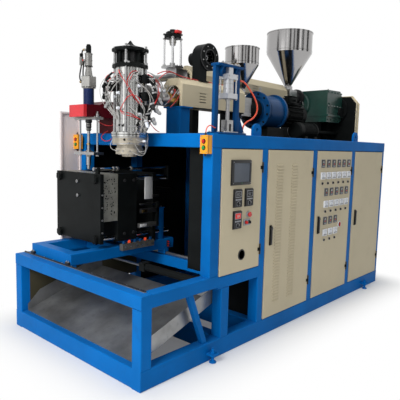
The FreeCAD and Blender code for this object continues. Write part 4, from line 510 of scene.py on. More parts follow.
def spun(profile, place, along=UP, sides=40):
    """A profile of (radius, height) points turned about an axis through place."""
    shape = bmesh.new()
    turn = Vector(UP).rotation_difference(Vector(along)).to_matrix()
    rings = []
    for radius, height in profile:
        if radius <= 0.001:
            rings.append([shape.verts.new(turn @ Vector((0, 0, height)) + Vector(place))])
            continue
        ring = []
        for k in range(sides):
            angle = 2 * math.pi * k / sides
            spot = Vector((radius * math.cos(angle), radius * math.sin(angle), height))
            ring.append(shape.verts.new(turn @ spot + Vector(place)))
        rings.append(ring)
    for lower, upper in zip(rings, rings[1:]):
        for k in range(sides):
            nearby = (k + 1) % sides
            corners = [lower[k % len(lower)], lower[nearby % len(lower)],
                       upper[nearby % len(upper)], upper[k % len(upper)]]
            corners = list(dict.fromkeys(corners))
            if len(corners) > 2:
                shape.faces.new(corners)
    return shape


def disc(radius, height):
    return [(0, 0), (radius, 0), (radius, height), (0, height)]


def collar(inner, outer, height, chamfer=1):
    """The profile of a band that stands out from a round body."""
    return [(inner, 0), (outer, chamfer), (outer, height - chamfer), (inner, height)]


def plug(foot, shoulder, neck, neck_foot, height):
    """The profile of a fitting whose foot narrows, above its shoulder, to a neck."""
    return [(0, 0), (foot, 0), (foot, shoulder), (neck, neck_foot), (neck, height), (0, height)]


def bar(start, end, radius, sides=20, chamfer=1.2):
    """A round bar with chamfered ends."""
    start, end = Vector(start), Vector(end)
    length = (end - start).length
    edge = min(chamfer, radius * 0.4, length * 0.3)
    return spun([(0, 0), (radius - edge, 0), (radius, edge), (radius, length - edge),
                 (radius - edge, length), (0, length)], start, end - start, sides)


def extruded(points, depth, bevel=1.5):
    """An outline of 3-D points, pushed along depth, with bevelled edges."""
    shape = bmesh.new()
    face = shape.faces.new([shape.verts.new(Vector(p)) for p in points])
    pushed = bmesh.ops.extrude_face_region(shape, geom=[face])
    for vert in (v for v in pushed["geom"] if isinstance(v, bmesh.types.BMVert)):
        vert.co += Vector(depth)
    bmesh.ops.recalc_face_normals(shape, faces=list(shape.faces))
    if bevel:
        bmesh.ops.bevel(shape, geom=list(shape.edges), offset=bevel, segments=2, profile=0.5,
                        affect="EDGES", clamp_overlap=True)
    return shape


def around(count, first=0):
    """The cosine and sine of evenly spread angles, the first given in degrees."""
    for k in range(count):
        angle = math.radians(first + 360 * k / count)
        yield math.cos(angle), math.sin(angle)


def oblong(middle, along, across):
    return [middle - along - across, middle + along - across, middle + along + across,
            middle - along + across]


def hex_head(place, along, across, height):
    """A hexagon nut or bolt head with its corners turned off."""
    corner = across / math.sqrt(3)
    return spun([(0, 0), (corner, 0), (corner, height * 0.8), (corner * 0.86, height),
                 (0, height)], place, along, 6)


def socket_bolt(place, along, radius):
    """A socket head with its recess."""
    height = radius * 1.1
    return spun([(0, 0), (radius, 0), (radius, height * 0.85), (radius * 0.88, height),
                 (radius * 0.5, height), (radius * 0.5, height * 0.4), (0, height * 0.4)], place,
                along, 14)


class Piece:
    """A mesh gathered from shapes, each in its own finish, that rides on one body."""

    def __init__(self, name, body="frame"):
        self.name = name
        self.body = body
        self.mesh = bmesh.new()
        self.finishes = []

    def slot_of(self, finish):
        if finish not in self.finishes:
            self.finishes.append(finish)
        return self.finishes.index(finish)

    def add(self, shape, *finishes):
        slots = [self.slot_of(finish) for finish in finishes]
        for face in shape.faces:
            face.material_index = slots[min(face.material_index, len(slots) - 1)]
            face.smooth = True
        held = bpy.data.meshes.new("held")
        shape.to_mesh(held)
        shape.free()
        self.mesh.from_mesh(held)
        bpy.data.meshes.remove(held)

    def grid(self, head, xs, ys, zs, along, *size, finish=STEEL):
        """The same bolt head wherever the given x, y and z meet."""
        spans = [span if isinstance(span, tuple) else (span,) for span in (xs, ys, zs)]
        for place in itertools.product(*spans):
            self.add(head(place, along, *size), finish)

    def done(self, *replaced):
        for vert in self.mesh.verts:
            vert.co = at(*vert.co)
        bmesh.ops.recalc_face_normals(self.mesh, faces=list(self.mesh.faces))
        data = bpy.data.meshes.new(self.name)
        self.mesh.to_mesh(data)
        self.mesh.free()
        for finish in self.finishes:
            data.materials.append(finish)
        data.set_sharp_from_angle(angle=SHARP_ANGLE)
        made = bpy.data.objects.new(self.name, data)
        bpy.context.scene.collection.objects.link(made)
        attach(made, self.body)
        if replaced:
            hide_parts(*replaced)


def tube_curve(name, runs, radius, finish, order, roundness, smoothness):
    """Round tubes on the frame, each along a smooth line near its points, in metres."""
    data = bpy.data.curves.new(name, "CURVE")
    data.dimensions = "3D"
    data.bevel_depth = radius
    data.bevel_resolution = roundness
    data.resolution_u = smoothness
    data.use_fill_caps = True
    for run in runs:
        line = data.splines.new("NURBS")
        line.points.add(len(run) - 1)
        for point, place in zip(line.points, run):
            point.co = (*place, 1)
        line.order_u = order
        line.use_endpoint_u = True
    data.materials.append(finish)
    made = bpy.data.objects.new(name, data)
    bpy.context.scene.collection.objects.link(made)
    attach(made, "frame")
    return made


def wires(name, runs, radius, finish):
    """Thin wires as one piece, their points and radius in millimetres."""
    tube_curve(name, [[at(*place) for place in run] for run in runs], radius / 1000, finish, 4, 2,
               6)


SEGMENTS = {"0": "abcdef", "1": "bc", "2": "abged", "3": "abgcd", "4": "fgbc", "5": "afgcd",
            "6": "afgedc", "7": "abc", "8": "abcdefg", "9": "abcdfg"}
STROKES = {"a": (0, 2, 1, 2), "b": (1, 1, 1, 2), "c": (1, 0, 1, 1), "d": (0, 0, 1, 0),
           "e": (0, 0, 0, 1), "f": (0, 1, 0, 2), "g": (0, 1, 1, 1)}


def digits(piece, number, x, y, z, height, finish):
    """Plain seven-segment figures on a face towards the doors' side."""
    wide = height * 0.5
    thick = height * 0.11
    for place, figure in enumerate(number):
        left = x + place * wide * 1.55
        for stroke in SEGMENTS[figure]:
            u0, v0, u1, v1 = STROKES[stroke]
            low = (left + u0 * wide - thick / 2, y - 0.6, z + v0 * height / 2 - thick / 2)
            high = (left + u1 * wide + thick / 2, y, z + v1 * height / 2 + thick / 2)
            piece.add(block(low, high, 0), finish)


# ---------------------------------------------------------------- air hoses

def hose(name, node_name, route, diameter):
    """A cord that takes the place of its CAD tube, along the same route."""
    made = tube_curve(name, [route], diameter / 2, HOSE, 3, 5, 16)
    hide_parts(node_name)


LIFT_ROUTE = [(-0.9347, -0.825, 2.236), (-0.885, -0.825, 2.236), (-0.8, -0.821, 2.18),
              (-0.715, -0.815, 2.12), (-0.663, -0.809, 2.05), (-0.67, -0.803, 1.985),
              (-0.725, -0.797, 1.938), (-0.785, -0.795, 1.92), (-0.828, -0.795, 1.892),
              (-0.853, -0.795, 1.852), (-0.8545, -0.795, 1.8005)]
BUTTON_ROUTE = [(-1.36, -0.84, 1.7853), (-1.36, -0.84, 1.813), (-1.348, -0.839, 1.842),
                (-1.32, -0.838, 1.86), (-1.292, -0.836, 1.86), (-1.269, -0.835, 1.8465),
                (-1.2454, -0.835, 1.845)]
hose("lift_air_hose", "lift_hose", LIFT_ROUTE, 0.014)
hose("button_air_hose", "button_hose", BUTTON_ROUTE, 0.008)


# ---------------------------------------------------------------- controls on the doors

# the Y of the doors' outer faces
FACE = -4


def turned(piece, profile, x, z, sides, finish, depth=0):
    """A profile turned about an axis square to the doors, from the given depth off their face."""
    piece.add(spun(profile, (x, FACE - depth, z), NEAR, sides), finish)


def touch_screen():
    piece = Piece("screen_unit", "door_1")
    piece.add(block((910, FACE - 5, 1394), (1170, FACE, 1600), 2), SATIN_BLACK)
    piece.add(windowed((914, FACE - 18, 1398), (1166, FACE - 4.5, 1596), 24, 4, 4), SATIN_BLACK,
              GLASS)
    for x in (928, 1152):
        for z in (1412, 1582):
            turned(piece, [(0, 0), (3.4, 0), (3, 1.4), (0, 1.6)], x, z, 12, STEEL, 18)
    turned(piece, [(0, 0), (3, 0), (2.2, 1.6), (0, 2)], 1040, 1410, 12, BUTTON_GREEN, 18)
    piece.done("touch_screen")


def speed_meter(piece, x, z, number, figure, window):
    """A tall instrument: display over four keys, and a dial knob with its pointer and ring."""
    piece.add(block((x - 54, FACE - 7, z - 75), (x + 54, FACE, z + 75), 2), SATIN_BLACK)
    piece.add(windowed((x - 50, FACE - 18, z - 71), (x + 50, FACE - 6.5, z + 71), 7, 2.5, 3),
              SATIN_BLACK, SATIN_BLACK)
    piece.add(windowed((x - 40, FACE - 17.5, z + 8), (x + 40, FACE - 15, z + 58), 3, 1, 1),
              KEY_GREY, window)
    digits(piece, number, x - 22, FACE - 16.9, z + 24, 18, figure)
    for k in range(4):
        left = x - 38 + 20 * k
        piece.add(block((left, FACE - 18.5, z - 16), (left + 15, FACE - 15, z - 5), 1.2), KEY_GREY)
    turned(piece, [(17, 0), (17, 3), (13, 4), (12, 13), (10.5, 14.5), (0, 14.5)], x, z - 44, 28,
           SATIN_BLACK, 15)
    piece.add(block((x - 1, FACE - 30.4, z - 43), (x + 1, FACE - 29, z - 33), 0.3), FIGURE_WHITE)
    turned(piece, [(21, 0), (21, 1.2), (19, 1.6), (18, 0.4)], x, z - 44, 32, KEY_GREY, 15.4)


def door_1_controls():
    piece = Piece("speed_and_selector_controls", "door_1")
    speed_meter(piece, 1003, 1288, "650", KEY_GREY, WINDOW)
    speed_meter(piece, 1156, 1288, "420", KEY_GREY, WINDOW)
    speed_meter(piece, 1006, 1110, "188", FIGURE_WHITE, FIGURE_RED)
    piece.add(block((1098, FACE - 10, 1052), (1186, FACE, 1108), 6, 3), KEY_GREY)
    for x, finish in ((1120, BUTTON_RED), (1164, SATIN_BLACK)):
        turned(piece, [(17, 0), (17, 3), (15, 5), (14, 5)], x, 1080, 32, SATIN_BLACK, 10)
        turned(piece, [(13, 0), (13, 9), (11.5, 11), (0, 11)], x, 1080, 32, finish, 10)
        piece.add(block((x - 3.5, FACE - 34, 1068), (x + 3.5, FACE - 20, 1092), 1.5), finish)
        piece.add(block((x - 0.8, FACE - 34.5, 1082), (x + 0.8, FACE - 33.5, 1091), 0.2),
                  FIGURE_WHITE)
    turned(piece, [(24, 0), (24, 9), (22, 12), (12, 12), (12, 0)], 1155, 1145, 40, KEY_GREY)
    piece.done("door_1_instruments")
    lips = Piece("door_1_cable_grommet", "door_1")
    turned(lips, [(37.5, 5), (37.5, -4), (45, -4), (47, -2), (47, 0.5), (44, 3), (37.5, 5)], 1088,
           808, 40, SATIN_BLACK, 0.5)
    lips.done()
    stop = Piece("mushroom_stop", "emergency_stop")
    turned(stop, [(0, -20), (11, -20), (11, 10), (19, 10), (21, 12), (21.5, 16), (19, 20),
                  (14, 22.5), (7, 23.7), (0, 24)], 1155, 1145, 40, BUTTON_RED, 12)
    for c, s in around(3, 30):
        x, z = 1155 + 13 * c, 1145 + 13 * s
        stop.add(block((x - 3.4, FACE - 35.6, z - 1), (x + 3.4, FACE - 34, z + 1), 0.3),
                 FIGURE_WHITE)
    stop.done("emergency_stop")


def controller(piece, x, z, number):
    """A temperature controller: bezel, two rows of figures and its four keys."""
    piece.add(block((x - 38, FACE - 3, z - 43), (x + 38, FACE, z + 43), 1.5), KEY_GREY)
    piece.add(windowed((x - 35, FACE - 9, z - 40), (x + 35, FACE - 2.5, z + 40), 5, 1.6, 2.5),
              SATIN_BLACK, WINDOW)
    digits(piece, number, x - 16, FACE - 7.4, z + 10, 14, FIGURE_WHITE)
    digits(piece, "180", x - 11, FACE - 7.4, z - 11, 10, FIGURE_RED)
    for k in range(4):
        left = x - 25 + 13.5 * k
        piece.add(block((left, FACE - 9.6, z - 33), (left + 9, FACE - 6, z - 24), 1), KEY_GREY)


# a meter's needle at rest and how far it swings, in degrees
NEEDLE_REST, NEEDLE_SWING = 150, 120


def ammeter(piece, x, z, share):
    """A moving-needle meter: clear white face with its scale, needle and black foot."""
    piece.add(windowed((x - 42, FACE - 16, z - 36), (x + 42, FACE, z + 36), 3.5, 2, 3), DIAL, DIAL)
    piece.add(block((x - 37, FACE - 15.4, z - 32), (x + 37, FACE - 13, z - 16), 1), KEY_GREY)
    hub = Vector((x, 0, z - 16))
    for k in range(11):
        angle = math.radians(NEEDLE_REST - NEEDLE_SWING / 10 * k)
        inner, reach = (38, 44) if k % 5 else (35, 46)
        for part in range(3):
            r = inner + (reach - inner) * part / 3
            spot = hub + Vector((r * math.cos(angle), 0, r * math.sin(angle)))
            if abs(spot.x - x) < 37 and spot.z < z + 31:
                piece.add(block((spot.x - 0.7, FACE - 14.6, spot.z - 1.3),
                                (spot.x + 0.7, FACE - 13.8, spot.z + 1.3), 0), SATIN_BLACK)
    angle = math.radians(NEEDLE_REST - NEEDLE_SWING * share)
    tip = hub + Vector((39 * math.cos(angle), 0, 39 * math.sin(angle)))
    across = Vector((-math.sin(angle), 0, math.cos(angle))) * 0.8
    start = hub + Vector((0, FACE - 14.8, 0))
    end = tip + Vector((0, FACE - 14.8, 0))
    piece.add(extruded([start - across * 1.6, end - across * 0.4, end + across * 0.4,
                        start + across * 1.6], (0, -0.5, 0), 0), SATIN_BLACK)


def switch_knob(piece, x, z, turn):
    turned(piece, [(17, 0), (17, 2.5), (14.5, 3.5), (14, 2.5)], x, z, 28, STEEL)
    turned(piece, [(12, 0), (12, 8), (11, 10), (0, 10)], x, z, 28, SATIN_BLACK)
    angle = math.radians(turn)
    along = Vector((math.cos(angle), 0, math.sin(angle)))
    across = Vector((-math.sin(angle), 0, math.cos(angle)))
    middle = Vector((x, FACE - 9, z))
    grip = oblong(middle, along * 11, across * 3.4)
    piece.add(extruded(grip, (0, -7, 0), 1), SATIN_BLACK)
    nib = oblong(middle + along * 6.5 + Vector((0, -6.6, 0)), along * 3.5, across * 0.9)
    piece.add(extruded(nib, (0, -0.8, 0), 0), FIGURE_WHITE)


READINGS = ["182", "180", "179", "181", "178", "183"]


def door_3_controls():
    piece = Piece("temperature_controls", "door_3")
    for first, z, count in ((2425, 1556, 6), (2518, 1257, 5), (2524, 953, 3)):
        for k in range(count):
            x = first + 118 * k
            controller(piece, x, z, READINGS[(k + count) % 6])
            ammeter(piece, x, z - 125, 0.25 + 0.09 * ((k * 5 + count) % 6))
            switch_knob(piece, x, z - 205, 90 - 50 * ((k + count) % 3 == 0))
    turned(piece, [(34, 0), (34, 4), (31, 6), (28, 6)], 2870, 882, 40, DIAL)
    turned(piece, [(26, 0), (26, 5), (24, 7), (0, 7)], 2870, 882, 36, SATIN_BLACK)
    piece.add(block((2863, FACE - 14, 860), (2877, FACE - 6, 904), 2), BUTTON_RED)
    piece.done("door_3_instruments")


touch_screen()
door_1_controls()
door_3_controls()


def louvre_hoods():
    piece = Piece("louvre_hoods", "door_2")
    for left in (1579, 1829):
        for z in range(286, 286 + 46 * 28, 28):
            side = [(left, FACE + 0.3, z + 11), (left, FACE - 4.5, z + 6), (left, FACE - 7, z - 3),
                    (left, FACE - 6, z - 4), (left, FACE + 0.3, z + 7)]
            piece.add(extruded(side, (102, 0, 0), 0), CREAM)
    piece.done()


louvre_hoods()


# ---------------------------------------------------------------- push button boxes

def button_box_trim(name, front, y):
    piece = Piece(name)
    low_z, high_z = 1645, 1785
    piece.add(edge_band((front + 14, y - 37.6, low_z - 0.6), (front + 17, y + 37.6, high_z + 0.6)),
              SATIN_BLACK)
    for dy in (-28, 28):
        for z in (low_z + 10, high_z - 10):
            piece.add(spun([(0, 0), (4.5, 0), (4, 2), (1.2, 2.4), (0, 1.2)], (front, y + dy, z),
                           FRONT, 14), STEEL)
    for z in (1738, 1690):
        piece.add(spun([(14, 0), (19, 0), (19, 2.4), (17.5, 3.6), (14, 3.6)], (front, y, z), FRONT,
                       30), SATIN_BLACK)
    gland_x = front + 20
    piece.add(spun([(0, 0), (11, 0), (11, 4), (8, 5), (8, 14), (6, 18), (0, 18)],
                   (gland_x, y, low_z), DOWN, 16), SATIN_BLACK)
    piece.add(spun([(5, 0), (9, 0), (9, 8), (6, 14), (5, 22), (5, 0)], (gland_x, y, high_z), UP,
                   16), SATIN_BLACK)
    piece.done()


def edge_band(low, high):
    """A thin band round a box's four long sides."""
    x0, y0, z0 = low
    x1, y1, z1 = high
    shape = bmesh.new()
    for a, b in (((x0, y0, z0), (x1, y1, z0 + 0.6)), ((x0, y0, z1 - 0.6), (x1, y1, z1)),
                 ((x0, y0, z0), (x1, y0 + 0.6, z1)), ((x0, y1 - 0.6, z0), (x1, y1, z1))):
        strip = block(a, b, 0)
        held = bpy.data.meshes.new("strip")
        strip.to_mesh(held)
        strip.free()
        shape.from_mesh(held)
        bpy.data.meshes.remove(held)
    return shape


button_box_trim("near_button_box_trim", 635, 45)
button_box_trim("far_button_box_trim", 610, 1717)


# ---------------------------------------------------------------- die head

DIE_X, DIE_Y = 500, 752
# the direction from the die head towards the photo's side, in degrees from X
CAMERA_SIDE = 222


def about_die(turn, radius, z):
    """A point about the die head's axis; turn is in degrees from the side that faces the photo."""
    angle = math.radians(CAMERA_SIDE + turn)
    return (DIE_X + radius * math.cos(angle), DIE_Y + radius * math.sin(angle), z)


def die_pad(turn, half, inner, outer, z):
    """The outline of a small pad about the die head, half its width in degrees."""
    return [about_die(turn - half, inner, z), about_die(turn + half, inner, z),
            about_die(turn + half, outer, z), about_die(turn - half, outer, z)]


def outwards(turn):
    angle = math.radians(CAMERA_SIDE + turn)
    return (math.cos(angle), math.sin(angle), 0)


def scalloped(levels, lobes, place, sides=96):
    """Rings of (radius, height, lobe depth) joined up, each pulled in between its lobes."""
    shape = bmesh.new()
    rings = []
    for radius, height, depth in levels:
        ring = []
        for k in range(sides):
            angle = 2 * math.pi * k / sides
            pull = depth * (0.5 - 0.5 * math.cos(lobes * angle)) ** 1.4
            r = radius - pull
            ring.append(shape.verts.new((place[0] + r * math.cos(angle),
                                         place[1] + r * math.sin(angle), place[2] + height)))
        rings.append(ring)
    for lower, upper in zip(rings, rings[1:]):
        for k in range(sides):
            nearby = (k + 1) % sides
            shape.faces.new((lower[k], lower[nearby], upper[nearby], upper[k]))
    shape.faces.new(list(reversed(rings[0])))
    shape.faces.new(rings[-1])
    return shape


def die_crown():
    """The cage over the die head: bolted flange, posts, lobed plate and pointed roof."""
    top = 2315
    piece = Piece("die_crown_cage")
    piece.add(scalloped([(140, 0, 5), (146, 2, 14), (146, 24, 14), (142, 28, 13), (118, 38, 3),
                         (108, 42, 0)], 8, (DIE_X, DIE_Y, top)), BLACK)
    piece.add(spun([(0, 36), (84, 36), (84, 40), (76, 46), (76, 122), (84, 128), (84, 132),
                    (0, 132)], (DIE_X, DIE_Y, top), sides=48), SATIN_BLACK)
    for c, s in around(8):
        corners = [(DIE_X + r * c - w * s, DIE_Y + r * s + w * c, top + 34)
                   for r, w in ((84, -9), (113, -7), (113, 7), (84, 9))]
        piece.add(extruded(corners, (0, 0, 98), 2), BLACK)
    piece.add(scalloped([(120, 124, 4), (146, 130, 16), (150, 134, 18), (150, 150, 18),
                         (147, 154, 17), (118, 161, 10), (84, 170, 4), (56, 178, 0), (36, 186, 0),
                         (24, 196, 0), (15, 207, 0), (9, 217, 0), (4, 222, 0)], 8,
                        (DIE_X, DIE_Y, top)), BLACK)
    for c, s in around(4, 45):
        x, y = DIE_X + 134 * c, DIE_Y + 134 * s
        piece.add(hex_head((x, y, top + 28), UP, 19, 11), STEEL)
        piece.add(hex_head((x, y, top + 152), UP, 19, 10), STEEL)
    piece.done("die_crown")


def die_shell_detail():
    """Seam straps, clamp bands, screw rows and heater sockets on the polished shell."""
    piece = Piece("die_shell_fittings")
    for turn in (-24, 92, 168, 232):
        piece.add(extruded(die_pad(turn, 3.2, 115.2, 118.2, 1808), (0, 0, 436), 0.8), STEEL)
        for k in range(7):
            z = 1838 + 63 * k
            piece.add(hex_head(about_die(turn, 118, z), outwards(turn), 9, 4), STEEL)
    for z in (1842, 2024, 2206):
        piece.add(spun([(114.8, 0), (117, 0), (117.6, 1), (117.6, 13), (117, 14), (114.8, 14)],
                       (DIE_X, DIE_Y, z), sides=72), STEEL)
    for turn, z in ((44, 2170), (46, 2060), (48, 1945), (-40, 1990), (-40, 2110), (100, 2100),
                    (100, 1950), (-90, 2090), (-90, 1960), (180, 2060), (180, 1930)):
        piece.add(spun(plug(13, 10, 10, 13, 24), about_die(turn, 114, z), outwards(turn), 16),
                  DIAL)
        piece.add(spun(disc(16, 3), about_die(turn, 114.5, z), outwards(turn), 16), STEEL)
    for turn, z in ((-36, 1845), (-20, 1842), (-12, 1850), (46, 1868), (52, 1900), (40, 1850)):
        piece.add(extruded(die_pad(turn, 4, 114.5, 121, z), (0, 0, 17), 1), BLACK)
    piece.done()


def die_base_detail():
    """Flange bolts, the heater band's clamp and its sockets, and the lip ring's screws."""
    piece = Piece("die_base_fittings")
    for k in range(16):
        turn = 22.5 * k + 6
        if abs((turn + CAMERA_SIDE - 36) % 90) < 9 or abs((turn + CAMERA_SIDE - 36) % 90) > 81:
            continue
        piece.add(socket_bolt(about_die(turn, 134, 1797), UP, 8), STEEL)
    piece.add(spun(collar(149.5, 151.5, 5), (DIE_X, DIE_Y, 1778), sides=80), BLACK)
    for z in (1703, 1753):
        piece.add(spun(collar(141.5, 144, 7, 0.5), (DIE_X, DIE_Y, z), sides=80), STEEL)
    for turn in (10, 130, 250):
        for z in (1712, 1742):
            for lean in (-4, 4):
                piece.add(extruded(die_pad(turn + lean, 1, 142, 156, z - 6), (0, 0, 12), 1), STEEL)
            start, end = about_die(turn - 7.5, 151, z), about_die(turn + 7.5, 151, z)
            piece.add(bar(start, end, 3, 12), STEEL)
    piece.add(spun([(0, 0), (9, 0), (9, 5), (6, 7), (0, 7)], about_die(-8, 142, 1738),
                   outwards(-8), 20), BLACK)
    piece.add(spun(plug(12, 14, 8, 17, 26), about_die(60, 141, 1728), outwards(60), 18), DIAL)
    for k in range(12):
        piece.add(socket_bolt(about_die(30 * k + 11, 112, 1646), outwards(30 * k + 11), 6), STEEL)
    for k in range(8):
        piece.add(socket_bolt(about_die(45 * k, 86, 1621), DOWN, 6), STEEL)
    for turn, z in ((12, 1646), (40, 1646)):
        piece.add(bar(about_die(turn, 110, z), about_die(turn, 140, z), 4.5, 14), STEEL)
    piece.done()


# wires tied round the die head; each run is (turn, radius, z) about its axis
RED_RUNS = [
    [(-34, 128, 2290), (-26, 150, 2262), (-8, 142, 2200), (2, 128, 2138), (20, 124, 2080),
     (44, 126, 2040), (60, 150, 2010)],
    [(38, 128, 2278), (20, 140, 2290), (2, 140, 2250), (-4, 130, 2180), (6, 124, 2120)],
    [(-26, 126, 1975), (-20, 150, 1990), (-4, 158, 2055), (14, 160, 2105), (34, 142, 2088),
     (52, 140, 2040)],
    [(-26, 126, 1975), (-18, 138, 1950), (2, 132, 1962), (24, 130, 1935), (48, 140, 1900)],
    [(58, 180, 2262), (74, 220, 2240), (84, 250, 2170), (78, 240, 2080), (70, 210, 2010)],
    [(66, 170, 1900), (76, 190, 1860), (84, 210, 1830), (96, 240, 1812)],
    [(-52, 140, 2274), (-66, 176, 2262), (-80, 196, 2226), (-76, 182, 2190), (-60, 150, 2176)],
    [(-50, 132, 2238), (-68, 170, 2232), (-84, 188, 2196), (-78, 176, 2140), (-62, 150, 2120)],
]
WHITE_RUNS = [
    [(50, 126, 2268), (34, 150, 2284), (14, 150, 2262), (-2, 130, 2200), (-8, 126, 2130),
     (-2, 126, 2060)],
    [(10, 126, 2140), (26, 150, 2082), (40, 160, 2040), (52, 170, 1990), (54, 150, 1930)],
    [(4, 126, 2010), (22, 146, 1962), (40, 152, 1938), (58, 170, 1900), (66, 180, 1850)],
    [(-30, 128, 2272), (-50, 170, 2240), (-70, 190, 2170), (-84, 182, 2080), (-78, 168, 2000),
     (-60, 140, 1950), (-40, 128, 1930)],
    [(-30, 128, 2222), (-56, 160, 2190), (-80, 180, 2100), (-70, 176, 2010), (-50, 150, 1960),
     (-44, 128, 1900)],
    [(44, 128, 1880), (52, 152, 1850), (64, 168, 1810), (60, 162, 1806)],
    [(60, 190, 2230), (72, 232, 2190), (82, 236, 2110), (88, 226, 2040), (78, 220, 1980)],
    [(60, 170, 2280), (82, 220, 2272), (96, 262, 2230), (98, 268, 2160)],
    [(-60, 150, 2262), (-78, 205, 2225), (-88, 222, 2150), (-86, 200, 2060), (-66, 160, 1990),
     (-48, 150, 1940)],
]
BLACK_RUNS = [
    [(-56, 146, 2270), (-72, 196, 2230), (-84, 210, 2140), (-80, 190, 2060), (-66, 150, 2010)],
    [(56, 150, 2262), (70, 196, 2240), (78, 214, 2180), (84, 222, 2110), (80, 216, 2040),
     (72, 190, 1980), (62, 150, 1950)],
    [(62, 150, 2230), (76, 190, 2200), (86, 214, 2140), (88, 210, 2060), (80, 180, 1990)],
    [(70, 180, 1890), (66, 170, 1850), (60, 160, 1812)],
    [(-70, 160, 2240), (-90, 200, 2180), (-96, 210, 2100), (-84, 176, 2020)],
]
BRAID_RUNS = [
    [(34, 124, 2200), (50, 150, 2170), (62, 190, 2120), (66, 200, 2050), (62, 180, 1960),
     (52, 150, 1880), (46, 140, 1812)],
    [(-26, 124, 2210), (-44, 150, 2180), (-60, 176, 2110), (-58, 170, 2030), (-44, 140, 1960),
     (-38, 128, 1900)],
    [(64, 164, 2250), (84, 214, 2230), (94, 250, 2190), (96, 262, 2120), (90, 250, 2070)],
    [(56, 180, 1930), (60, 176, 1880), (58, 168, 1830), (56, 160, 1806)],
]


def die_wiring():
    """Each run is a bundle: its wires leave and end together and part in between."""
    for name, runs, radius, finish, count in (("die_wires_red", RED_RUNS, 2.4, WIRE_RED, 2),
                                              ("die_wires_white", WHITE_RUNS, 2.3, WIRE_WHITE, 3),
                                              ("die_wires_black", BLACK_RUNS, 5.5, WIRE_BLACK, 2),
                                              ("die_wires_braided", BRAID_RUNS, 4, BRAID, 2)):
        bundle = []
        for i, run in enumerate(runs):
            for k in range(count):
                last = len(run) - 1
                strand = []
                for j, (turn, r, z) in enumerate(run):
                    slack = min(j, last - j, 2) * k
                    drift = math.sin(2.3 * i + 1.7 * j + 2.1 * k)
                    strand.append(about_die(turn + slack * (1.5 + 3 * drift),
                                            r + slack * (3 + 4 * drift) + 2 * radius * k,
                                            z - slack * (7 + 9 * math.cos(3.1 * i + j + k))))
                bundle.append(strand)
        wires(name, bundle, radius, finish)


def die_loops():
    """Thin sensor leads that hang in loops beside the lip rings."""
    wires("die_loops", [[about_die(*spot) for spot in run] for run in (
        [(26, 138, 1708), (34, 150, 1660), (48, 158, 1622), (64, 160, 1632), (70, 152, 1680),
         (66, 146, 1738)],
        [(20, 112, 1640), (34, 140, 1616), (52, 152, 1608), (68, 158, 1634), (74, 156, 1690),
         (70, 146, 1744)],
        [(52, 112, 1646), (62, 140, 1640), (76, 156, 1660), (84, 160, 1700), (80, 150, 1758)],
        [(30, 140, 1742), (48, 156, 1722), (66, 166, 1712), (84, 160, 1742), (84, 150, 1790)],
        [(-64, 142, 1740), (-76, 160, 1700), (-70, 158, 1660), (-50, 146, 1650),
         (-38, 112, 1652)])], 2.4, WIRE_WHITE)


def connector(piece, place, along, radius, length, finish):
    """A round cable connector: knurled nut, shell and strain relief."""
    piece.add(spun([(0, 0), (radius, 0), (radius, length * 0.4), (radius * 0.82, length * 0.45),
                    (radius * 0.82, length * 0.8), (radius * 0.5, length * 0.95),
                    (radius * 0.45, length), (0, length)], place, along, 18), finish)
    piece.add(spun([(radius, length * 0.08), (radius * 1.14, length * 0.1),
                    (radius * 1.14, length * 0.3), (radius, length * 0.32)], place, along, 10),
              STEEL)


def die_connectors():
    piece = Piece("die_connectors")
    for turn, r, z, lean, radius, finish in (
            (72, 196, 2236, -0.3, 20, BLACK), (84, 220, 2186, 0.2, 18, DIAL),
            (74, 204, 2128, -0.5, 22, BLACK), (88, 232, 2080, 0.3, 19, STEEL),
            (70, 196, 2040, -0.2, 20, WIRE_BLACK), (80, 216, 1990, 0.6, 18, STEEL),
            (62, 176, 1958, -0.6, 22, BLACK), (74, 198, 1916, 0.2, 19, STEEL),
            (58, 170, 1896, -0.3, 17, DIAL), (-72, 186, 2200, 0.3, 18, BLACK),
            (-80, 194, 2120, -0.4, 20, BLACK), (-66, 172, 2040, 0.3, 16, STEEL)):
        along = Vector(outwards(turn)) * 0.5 + Vector((0, 0, -1 + lean))
        connector(piece, about_die(turn, r, z), along.normalized(), radius, 62, finish)
    for turn, r, z in ((64, 150, 2226), (66, 148, 2090), (60, 146, 1985), (-64, 150, 2160)):
        low = Vector(about_die(turn, r, z))
        piece.add(block(low - Vector((26, 22, 34)), low + Vector((26, 22, 34)), 4), BLACK)
    for turn, r, z in ((-68, 176, 2150), (-74, 182, 2090), (-62, 160, 2205), (78, 200, 2160),
                       (84, 214, 2040)):
        piece.add(spun(collar(17, 21, 10), about_die(turn, r, z), UP, 20), WIRE_WHITE)
    piece.done()


die_crown()
die_shell_detail()
die_base_detail()
die_wiring()
die_loops()
die_connectors()


# ---------------------------------------------------------------- lift unit on the near side

